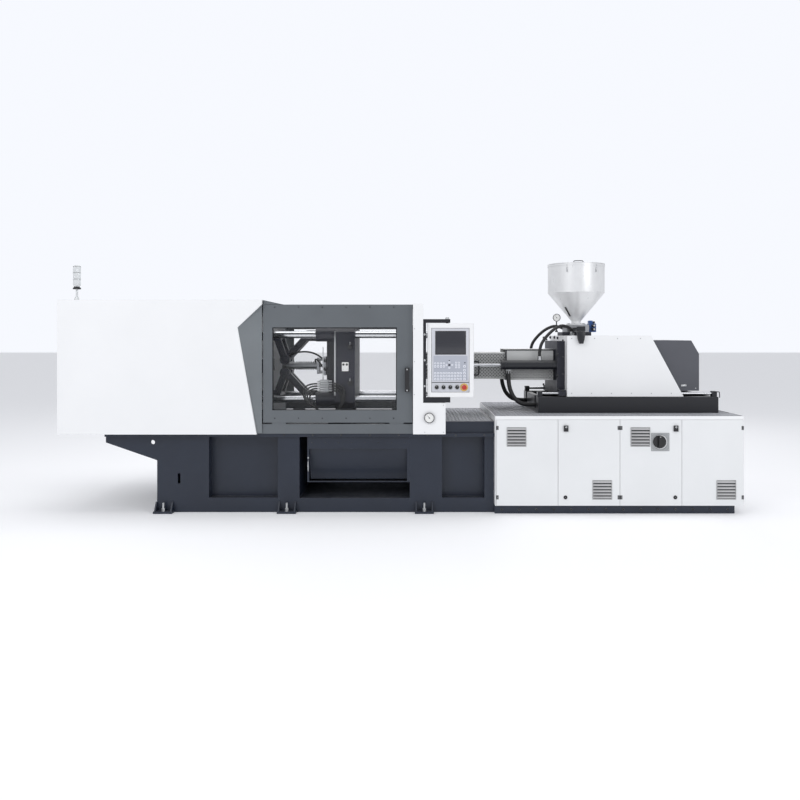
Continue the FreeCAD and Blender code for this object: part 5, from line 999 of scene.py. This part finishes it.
def mould_services():
    """Water manifold with its fittings, hoses and junction box on the moving platen, with two bright strips
    that paint highlights on the platen's back edge and on a rib's back edge.
    """
    platen = LOW["moving_platen"], HIGH["moving_platen"]
    face = platen[0].y
    bm = bmesh.new()
    left, right = -0.716, -0.640
    tap_foot, tap_pitch = 1.032, 0.021
    slab(bm, (left, face - 0.042, 1.018), (right, face - 0.002, 1.130), 0.003, mark=0)
    for k in range(5):
        z = tap_foot + k * tap_pitch
        rod(bm, (left - 0.024, face - 0.022, z), (left + 0.002, face - 0.022, z), 0.0075, sides=18,
            edge=0.001, mark=1)
        rod(bm, (right - 0.002, face - 0.022, z), (right + 0.030, face - 0.022, z), 0.0085, sides=6,
            edge=0.001, mark=1)
        rod(bm, (left + 0.006, face - 0.048, z), (right - 0.006, face - 0.048, z), 0.0048, sides=12,
            edge=0.001, mark=1)
    slab(bm, (left + 0.020, face - 0.002, 1.130), (left + 0.030, face + 0.001, 1.420), 0.001, mark=1)
    piece("water_manifold", bm, "moving_platen", "link_steel", GREY_PLASTIC, ZINC)
    bm = bmesh.new()
    for k in range(4):
        z = tap_foot + k * tap_pitch
        reach = 0.070 + 0.020 * k
        pipe(bm, [(left - 0.020, face - 0.022, z), (left - 0.020 - reach * 0.8, face - 0.026, z),
                  (left - 0.030 - reach, face - 0.034, z - 0.10), (left - 0.010 - reach * 0.6, face - 0.034,
                                                                   0.900),
                  (left + 0.040 + 0.02 * k, face - 0.030, 0.812), (left + 0.12 + 0.02 * k, face - 0.014, 0.760),
                  (left + 0.13 + 0.02 * k, face + 0.004, 0.735)], 0.0075)
        pipe(bm, [(right + 0.026, face - 0.022, z), (right + 0.060 + reach * 0.4, face - 0.024, z),
                  (right + 0.085 + reach * 0.5, face - 0.032, z - 0.060), (right + 0.080 + reach * 0.4,
                                                                           face - 0.030, 0.900),
                  (right + 0.060, face - 0.014, 0.840), (right + 0.050, face + 0.006, 0.800)], 0.0070)
    piece("water_hoses", bm, "moving_platen", "hose_rubber", RUBBER)
    bm = bmesh.new()
    # Bright zinc strips: painted highlights on the platen's back edge and on a rib's back edge.
    slab(bm, (-0.592, face - 0.010, 0.985), (-0.578, face + 0.001, 1.560), 0.002, mark=0)
    slab(bm, (-0.668, -0.198, 0.960), (-0.660, -0.190, 1.500), 0.0015, mark=0)
    slab(bm, (-0.522, face - 0.026, 1.205), (-0.462, face - 0.001, 1.285), 0.004, mark=1)
    for x in (-0.507, -0.477):
        turned(bm, [(0.010, 0), (0.010, 0.004), (0.0065, 0.004), (0.0065, 0.001), (0, 0.001)],
               (x, face - 0.026, 1.265),
               FRONT, 20, mark=2)
        cap_screw(bm, (x, face - 0.026, 1.222), FRONT, 0.003, 0.002, mark=0)
    for z in (1.10, 1.42):
        slab(bm, (-0.470, face - 0.020, z - 0.020), (-0.430, face - 0.001, z + 0.020), 0.004, mark=2)
        rod(bm, (-0.450, face - 0.022, z + 0.018), (-0.450, face - 0.010, z + 0.044), 0.004, sides=12,
            edge=0.001, mark=0)
    piece("platen_fixtures_and_highlight_strips", bm, "moving_platen", "chrome", ZINC, DIAL, PLASTIC)
    bm = bmesh.new()
    ram = LOW["ejector_cylinder"], HIGH["ejector_cylinder"]
    for x in spread(ram[0].x + 0.060, -0.800, 12):
        turned(bm, [(0.0362, 0), (0.041, 0.0), (0.041, 0.007), (0.0362, 0.007)], (x, 0, 1.240), RIGHT, 40,
               mark=0)
    pipe(bm, [(-1.06, -0.020, 1.275), (-1.06, -0.06, 1.32), (-1.00, -0.12, 1.36), (-0.86, -0.16, 1.38),
              (-0.74, -0.17, 1.34), (-0.69, -0.175, 1.28)], 0.008, mark=1)
    pipe(bm, [(-0.80, -0.020, 1.275), (-0.80, -0.06, 1.30), (-0.77, -0.12, 1.30), (-0.72, -0.16, 1.24),
              (-0.69, -0.175, 1.20)], 0.008, mark=1)
    piece("ejector_fittings", bm, "moving_platen", "link_steel", STEEL, RUBBER)
    bm = bmesh.new()
    for x in spread(-1.13, 0.06, 36):
        slab(bm, (x, -0.560, 0.690), (x + 0.026, -0.515, 0.722), 0.003)
    piece("energy_chain", bm, "frame", "black_plastic", PLASTIC)



# ---------------------------------------------------------------- injection side

def lattice(bm, low, high, skin, side, pitch=0.030, bar=0.0034, mark=0):
    """Crossed diagonal bars that fill an upright rectangle on a guard's face."""
    wide, tall = high[0] - low[0], high[1] - low[1]
    stand = 0.0016
    for lean in (1, -1):
        for k in range(1, int((wide + tall) / pitch) + 1):
            start = max(0.0, k * pitch - tall)
            end = min(wide, k * pitch)
            if end - start < pitch / 2:
                continue
            a, b = (Vector((low[0] + along, skin + side * stand / 2,
                            high[1] - (k * pitch - along) if lean > 0 else low[1] + (k * pitch - along)))
                    for along in (start, end))
            bit = bmesh.new()
            bmesh.ops.create_cube(bit, size=1.0)
            bmesh.ops.scale(bit, vec=((b - a).length, stand, 2 * bar), verts=bit.verts)
            bmesh.ops.rotate(bit, cent=(0, 0, 0), matrix=Matrix.Rotation(math.radians(-45 * lean), 3, "Y"),
                             verts=bit.verts)
            bmesh.ops.translate(bit, vec=(a + b) / 2, verts=bit.verts)
            take(bm, bit, mark)


def sheet(bm, side, skin, reach, low, high, radius=0.0, mark=0, start=0.0):
    """A slab on an upright face, from start to reach in front of it; side is -1 at the front, 1 at the rear."""
    near, far = sorted((skin + side * start, skin + side * reach))
    slab(bm, (low[0], near, low[1]), (high[0], far, high[1]), radius, mark)


def pierced(bm, side, skin, low, high):
    """A pierced face: lattice over a dark sheet that paints the shade seen through the holes."""
    sheet(bm, side, skin, 0.0008, low, high, mark=1)
    lattice(bm, low, high, skin + side * 0.0007, side)


def nozzle_guard_face(side, name):
    """Pierced face with its border and bright middle rail."""
    low, high = LOW["nozzle_guard"], HIGH["nozzle_guard"]
    skin = low.y if side < 0 else high.y
    bm = bmesh.new()
    pierced(bm, side, skin, (low.x + 0.012, low.z + 0.014), (high.x - 0.012, high.z - 0.014))
    for z in (low.z, high.z - 0.014):
        sheet(bm, side, skin, 0.004, (low.x + 0.001, z + 0.0005), (high.x - 0.001, z + 0.0135), 0.001)
    for x in (low.x + 0.0005, high.x - 0.0125):
        sheet(bm, side, skin, 0.004, (x, low.z + 0.013), (x + 0.012, high.z - 0.013), 0.001)
    piece("nozzle_guard_mesh_" + name, bm, "nozzle_guard", "guard_grey", GUARD, HOLE_SHADE)
    bm = bmesh.new()
    middle = (low.z + high.z) / 2
    sheet(bm, side, skin, 0.0085, (low.x + 0.006, middle - 0.011), (low.x + 0.766, middle + 0.011), 0.002,
          start=0.002)
    for x in spread(low.x + 0.03, low.x + 0.74, 5):
        cap_screw(bm, (x, skin + side * 0.0085, middle), (0, side, 0), 0.0045, 0.002)
    piece("nozzle_guard_rail_" + name, bm, "nozzle_guard", "chrome", ZINC)


def barrel_guard_face(side, name):
    """Pierced strip low on the face, with black straps at its ends and top."""
    low, high = LOW["barrel_guard"], HIGH["barrel_guard"]
    skin = low.y if side < 0 else high.y
    bm = bmesh.new()
    pierced(bm, side, skin, (low.x + 0.014, low.z + 0.012), (high.x - 0.014, low.z + 0.094))
    for z in (low.z, low.z + 0.094):
        sheet(bm, side, skin, 0.004, (low.x + 0.014, z + 0.0005), (high.x - 0.014, z + 0.0115), 0.001)
    for a, b in (((low.x + 0.0005, low.z + 0.0005), (low.x + 0.014, high.z - 0.0005)),
                 ((high.x - 0.014, low.z + 0.0005), (high.x - 0.001, high.z - 0.0005)),
                 ((low.x + 0.014, high.z - 0.012), (high.x - 0.014, high.z - 0.0005))):
        sheet(bm, side, skin, 0.004, a, b, 0.001, mark=2)
    for z in (low.z + 0.030, low.z + 0.140, high.z - 0.040):
        cap_screw(bm, (low.x + 0.007, skin + side * 0.004, z), (0, side, 0), 0.0045, 0.0025, mark=2)
    piece("barrel_guard_mesh_" + name, bm, "carriage", "guard_grey", GUARD, HOLE_SHADE, BLACK)


def guard_mesh():
    """Faces of both guards, front and rear, and the nozzle guard's handle."""
    for side, name in ((-1, "front"), (1, "rear")):
        nozzle_guard_face(side, name)
    low = LOW["nozzle_guard"]
    bm = bmesh.new()
    skin, x, foot, top = low.y - 0.004, low.x + 0.535, 1.160, 1.285
    pipe(bm, [(x - 0.050, skin, foot), (x - 0.048, skin - 0.020, foot), (x - 0.010, skin - 0.024, foot),
              (x, skin - 0.024, foot + 0.012), (x, skin - 0.024, top - 0.012), (x - 0.010, skin - 0.024, top),
              (x - 0.048, skin - 0.020, top), (x - 0.050, skin, top)], 0.0065)
    for z in (foot, top):
        turned(bm, [(0.013, 0), (0.013, 0.003), (0.010, 0.005), (0, 0.005)], (x - 0.050, low.y - 0.0008, z),
               FRONT, 24)
    piece("nozzle_guard_handle", bm, "nozzle_guard", "black_plastic", PLASTIC)
    for side, name in ((-1, "front"), (1, "rear")):
        barrel_guard_face(side, name)


def barrel_heaters():
    """Heater bands with clamping ears and leads, under the guards."""
    bm = bmesh.new()
    axis = (LOW["barrel"].z + HIGH["barrel"].z) / 2
    size = HIGH["barrel"].y
    for x in spread(0.335, 1.235, 7):
        turned(bm, [(size + 0.0003, 0), (size + 0.009, 0.0), (size + 0.010, 0.001), (size + 0.010, 0.104),
                    (size + 0.009, 0.105), (size + 0.0003, 0.105)], (x, 0, axis), RIGHT, 48)
        for along in (0.018, 0.087):
            slab(bm, (x + along - 0.008, -0.012, axis + size + 0.008),
                 (x + along + 0.008, -0.007, axis + size + 0.028),
                 0.001)
            slab(bm, (x + along - 0.008, 0.007, axis + size + 0.008),
                 (x + along + 0.008, 0.012, axis + size + 0.028),
                 0.001)
            rod(bm, (x + along, -0.020, axis + size + 0.020), (x + along, 0.020, axis + size + 0.020),
                0.003, mark=1)
        slab(bm, (x + 0.034, -size - 0.026, axis - 0.014), (x + 0.070, -size - 0.008, axis + 0.014), 0.003,
             mark=2)
    piece("heater_bands", bm, "carriage", "barrel_steel", BAND, ZINC, GREY_PLASTIC)


def unit_fittings():
    """Bolts and fittings on the injection plate, its gauge and valve, and the drain chute."""
    low, high = LOW["injection_housing"], HIGH["injection_housing"]
    bm = bmesh.new()
    for y in (-0.345, 0.345):
        for z in (1.040, 1.160, 1.350, 1.500):
            bolt(bm, (low.x, y, z), LEFT, 0.024, 0.013)
    for y in (-0.200, 0.0, 0.200):
        bolt(bm, (low.x, y, 1.505), LEFT, 0.024, 0.013)
    for side in (-1, 1):
        for z in (1.030, 1.180, 1.330, 1.480):
            cap_screw(bm, (low.x + 0.034, side * high.y, z), (0, side, 0), 0.008, 0.006)
    piece("plate_bolts", bm, "carriage", "black_paint", DARK_STEEL)
    pull = LOW["carriage_cylinders"], HIGH["carriage_cylinders"]
    reach = (pull[1].z - pull[0].z) / 2
    middle = (pull[1].z + pull[0].z) / 2
    bm = bmesh.new()
    for side in (-1, 1):
        y = side * (pull[1].y - reach)
        for x in (pull[0].x + 0.001, pull[0].x + 0.034, pull[1].x - 0.030):
            turned(bm, [(reach, 0), (reach + 0.004, 0.001), (reach + 0.004, 0.010), (reach, 0.011)],
                   (x, y, middle),
                   RIGHT, 40)
        for turn in range(6):
            spot = (pull[0].x, y + 0.030 * math.cos(turn * 1.047), middle + 0.030 * math.sin(turn * 1.047))
            cap_screw(bm, spot, LEFT, 0.005, 0.004, mark=1)
        for foot, facing in (((1.258, y, pull[1].z), UP), ((0.975, y, pull[0].z), DOWN),
                             ((1.580, side * 0.138, HIGH["unit_cover"].z), UP)):
            turned(bm,
                   [(0.024, 0), (0.024, 0.012), (0.021, 0.014), (0.0205, 0.034), (0.0195, 0.036),
                    (0.0142, 0.036),
                        (0.0142, 0.0)], foot, facing, 6, mark=1)
    piece("pull_cylinder_rings", bm, "carriage", "black_paint", BLACK, ZINC)
    bm = bmesh.new()
    seat = HIGH["injection_housing"].z
    rod(bm, (1.456, -0.030, seat), (1.456, -0.030, seat + 0.105), 0.0055, sides=16)
    turned(bm, [(0.013, 0), (0.013, 0.012), (0.008, 0.016), (0, 0.016)], (1.456, -0.030, seat), UP, 6)
    gauge(bm, (1.456, -0.018, seat + 0.135), FRONT, 0.036, 0.024)
    piece("back_pressure_gauge", bm, "carriage", "chrome", DARK_STEEL, DIAL, KEY_DARK)
    bm = bmesh.new()
    slab(bm, (1.756, -0.052, seat), (1.822, 0.050, seat + 0.080), 0.004)
    slab(bm, (1.762, -0.040, seat + 0.080), (1.792, 0.034, seat + 0.108), 0.003)
    for y, z in ((-0.052, 0.026), (-0.052, 0.060), (0.050, 0.042)):
        side = -1 if y < 0 else 1
        rod(bm, (1.789, y, seat + z), (1.789, y + side * 0.055, seat + z), 0.0145, edge=0.002, mark=1)
        rod(bm, (1.789, y + side * 0.055, seat + z), (1.789, y + side * 0.062, seat + z), 0.008, mark=2)
    slab(bm, (1.798, -0.030, seat + 0.080), (1.816, 0.026, seat + 0.100), 0.002, mark=1)
    for y in (-0.036, 0.0, 0.034):
        cap_screw(bm, (1.808, y, seat + 0.080 if y else seat + 0.100), UP, 0.004, 0.003, mark=2)
    piece("valve_block", bm, "carriage", "machine_grey", BLUE, PLASTIC, ZINC)
    bm = bmesh.new()
    top = LOW["feed_slide"].z - 0.002
    slab(bm, (1.574, -0.404, seat + 0.0003), (1.634, -0.108, top), 0.0015)
    prism(bm, [(1.557, -0.404, 1.556), (1.631, -0.404, 1.556), (1.622, -0.404, 1.490), (1.612, -0.404, 1.450),
               (1.580, -0.404, 1.450), (1.566, -0.404, 1.490)], (0, -0.040, 0), 0.003)
    piece("drain_chute", bm, "carriage", "black_paint", BLACK)


def hopper_trim():
    """Rim band, seam, flange bolts, sight glass and lid catches of the hopper."""
    low, high = LOW["hopper"], HIGH["hopper"]
    x = (low.x + high.x) / 2
    size = (high.x - low.x) / 2
    shoulder, neck, throat = 1.920, 1.656, 0.041
    bm = bmesh.new()
    turned(bm, [(size, 0), (size + 0.004, 0.001), (size + 0.004, 0.016), (size, 0.017)],
           (x, 0, high.z - 0.0185), UP, 72)
    turned(bm, [(size - 0.002, -0.004), (size + 0.0018, -0.003), (size + 0.0018, 0.003), (size, 0.004)],
           (x, 0, shoulder + 0.002), UP, 72)
    turned(bm, [(throat, -0.003), (throat + 0.0045, -0.002), (throat + 0.0045, 0.006), (throat, 0.007)],
           (x, 0, neck), UP, 40)
    for turn in range(8):
        spot = (x + 0.074 * math.cos(turn * math.pi / 4 + 0.39),
                0.074 * math.sin(turn * math.pi / 4 + 0.39), 1.632)
        bolt(bm, spot, UP, 0.014, 0.007, mark=1)
    for way in ((-0.5, -0.866), (0.5, -0.866)):
        face = Vector((x + way[0] * (size + 0.004), way[1] * (size + 0.004), high.z - 0.060))
        out = Vector((way[0], way[1], 0))
        rod(bm, face - UP * 0.020, face + UP * 0.022, 0.007, edge=0.001, mark=1)
        rod(bm, face + UP * 0.020 + out * 0.004, face + UP * 0.048 + out * 0.004, 0.0022, mark=1)
    piece("hopper_trim", bm, "carriage", "hopper_steel", HOPPER, ZINC)
    bm = bmesh.new()
    way = Vector((-0.80, -0.60, 0))
    ends = []
    for z in (1.705, 1.785):
        reach = throat + (size - throat) * (z - neck) / (shoulder - neck)
        ends.append(Vector((x, 0, z)) + way * (reach + 0.0005))
    rod(bm, ends[0], ends[1], 0.0085, sides=20)
    piece("hopper_sight_glass", bm, "carriage", "black_plastic", PLASTIC)
    bm = bmesh.new()
    lid = LOW["hopper_lid"], HIGH["hopper_lid"]
    top = lid[1].z
    pipe(bm, [(x - 0.045, -0.10, top - 0.002), (x - 0.044, -0.10, top + 0.010), (x - 0.034, -0.10, top + 0.015),
              (x + 0.034, -0.10, top + 0.015), (x + 0.044, -0.10, top + 0.010), (x + 0.045, -0.10,
                                                                                 top - 0.002)],
         0.004)
    piece("lid_handle", bm, "hopper_lid", "black_plastic", PLASTIC)


def unit_trim():
    """Screws and latch of the injection unit's covers, dark slot shapes that paint the shade in the motor
    cover's vents, and the bolts of its base.
    """
    low, high = LOW["unit_cover"], HIGH["unit_cover"]
    bm = bmesh.new()
    for side in (-1, 1):
        for x in spread(low.x + 0.040, high.x - 0.110, 6):
            cap_screw(bm, (x, side * high.y, low.z + 0.030), (0, side, 0), 0.005, 0.003)
        for x in spread(low.x + 0.040, low.x + 0.650, 4):
            cap_screw(bm, (x, side * high.y, high.z - 0.025), (0, side, 0), 0.005, 0.003)
    low, high = LOW["motor_cover"], HIGH["motor_cover"]
    for side in (-1, 1):
        for x in (high.x - 0.200, high.x - 0.030):
            cap_screw(bm, (x, side * high.y, low.z + 0.022), (0, side, 0), 0.005, 0.003)
        near, far = sorted((side * high.y, side * (high.y + 0.010)))
        slab(bm, (2.505, near, 1.066), (2.555, far, 1.084), 0.003)
        turned(bm, [(0.006, 0), (0.006, 0.004), (0.004, 0.006), (0, 0.006)],
               (2.545, side * (high.y + 0.010), 1.075),
               (0, side, 0), 24)
    piece("cover_fixings", bm, "carriage", "chrome", ZINC)
    bm = bmesh.new()
    # Dark slot shapes on the motor cover's end: painted shade in its vent openings.
    for y in spread(-0.24, 0.24, 13):
        slab(bm, (high.x - 0.0005, y - 0.005, 1.080), (high.x + 0.002, y + 0.005, 1.230), 0.002, steps=3)
    piece("motor_cover_vent_shade", bm, "carriage", "black_paint", DARK_STEEL)
    low, high = LOW["injection_base"], HIGH["injection_base"]
    bm = bmesh.new()
    for x in spread(low.x + 0.050, high.x - 0.050, 7):
        for side in (-1, 1):
            bolt(bm, (x, side * (high.y - 0.018), low.z + 0.016), UP, 0.020, 0.010)
    pipe(bm, [(high.x - 0.020, -0.395, high.z - 0.004), (high.x + 0.010, -0.395, high.z - 0.002),
              (high.x + 0.016, -0.395, high.z - 0.010), (high.x + 0.016, -0.395, high.z - 0.055)], 0.004)
    piece("base_bolts", bm, "frame", "black_paint", DARK_STEEL)


camera()
studio()
dress_nodes()
cabinet()
deck_pattern()
control_panel()
gate_trim()
covers()
bed_trim()
bush_screws()
mould_services()
guard_mesh()
barrel_heaters()
unit_fittings()
hopper_trim()
unit_trim()
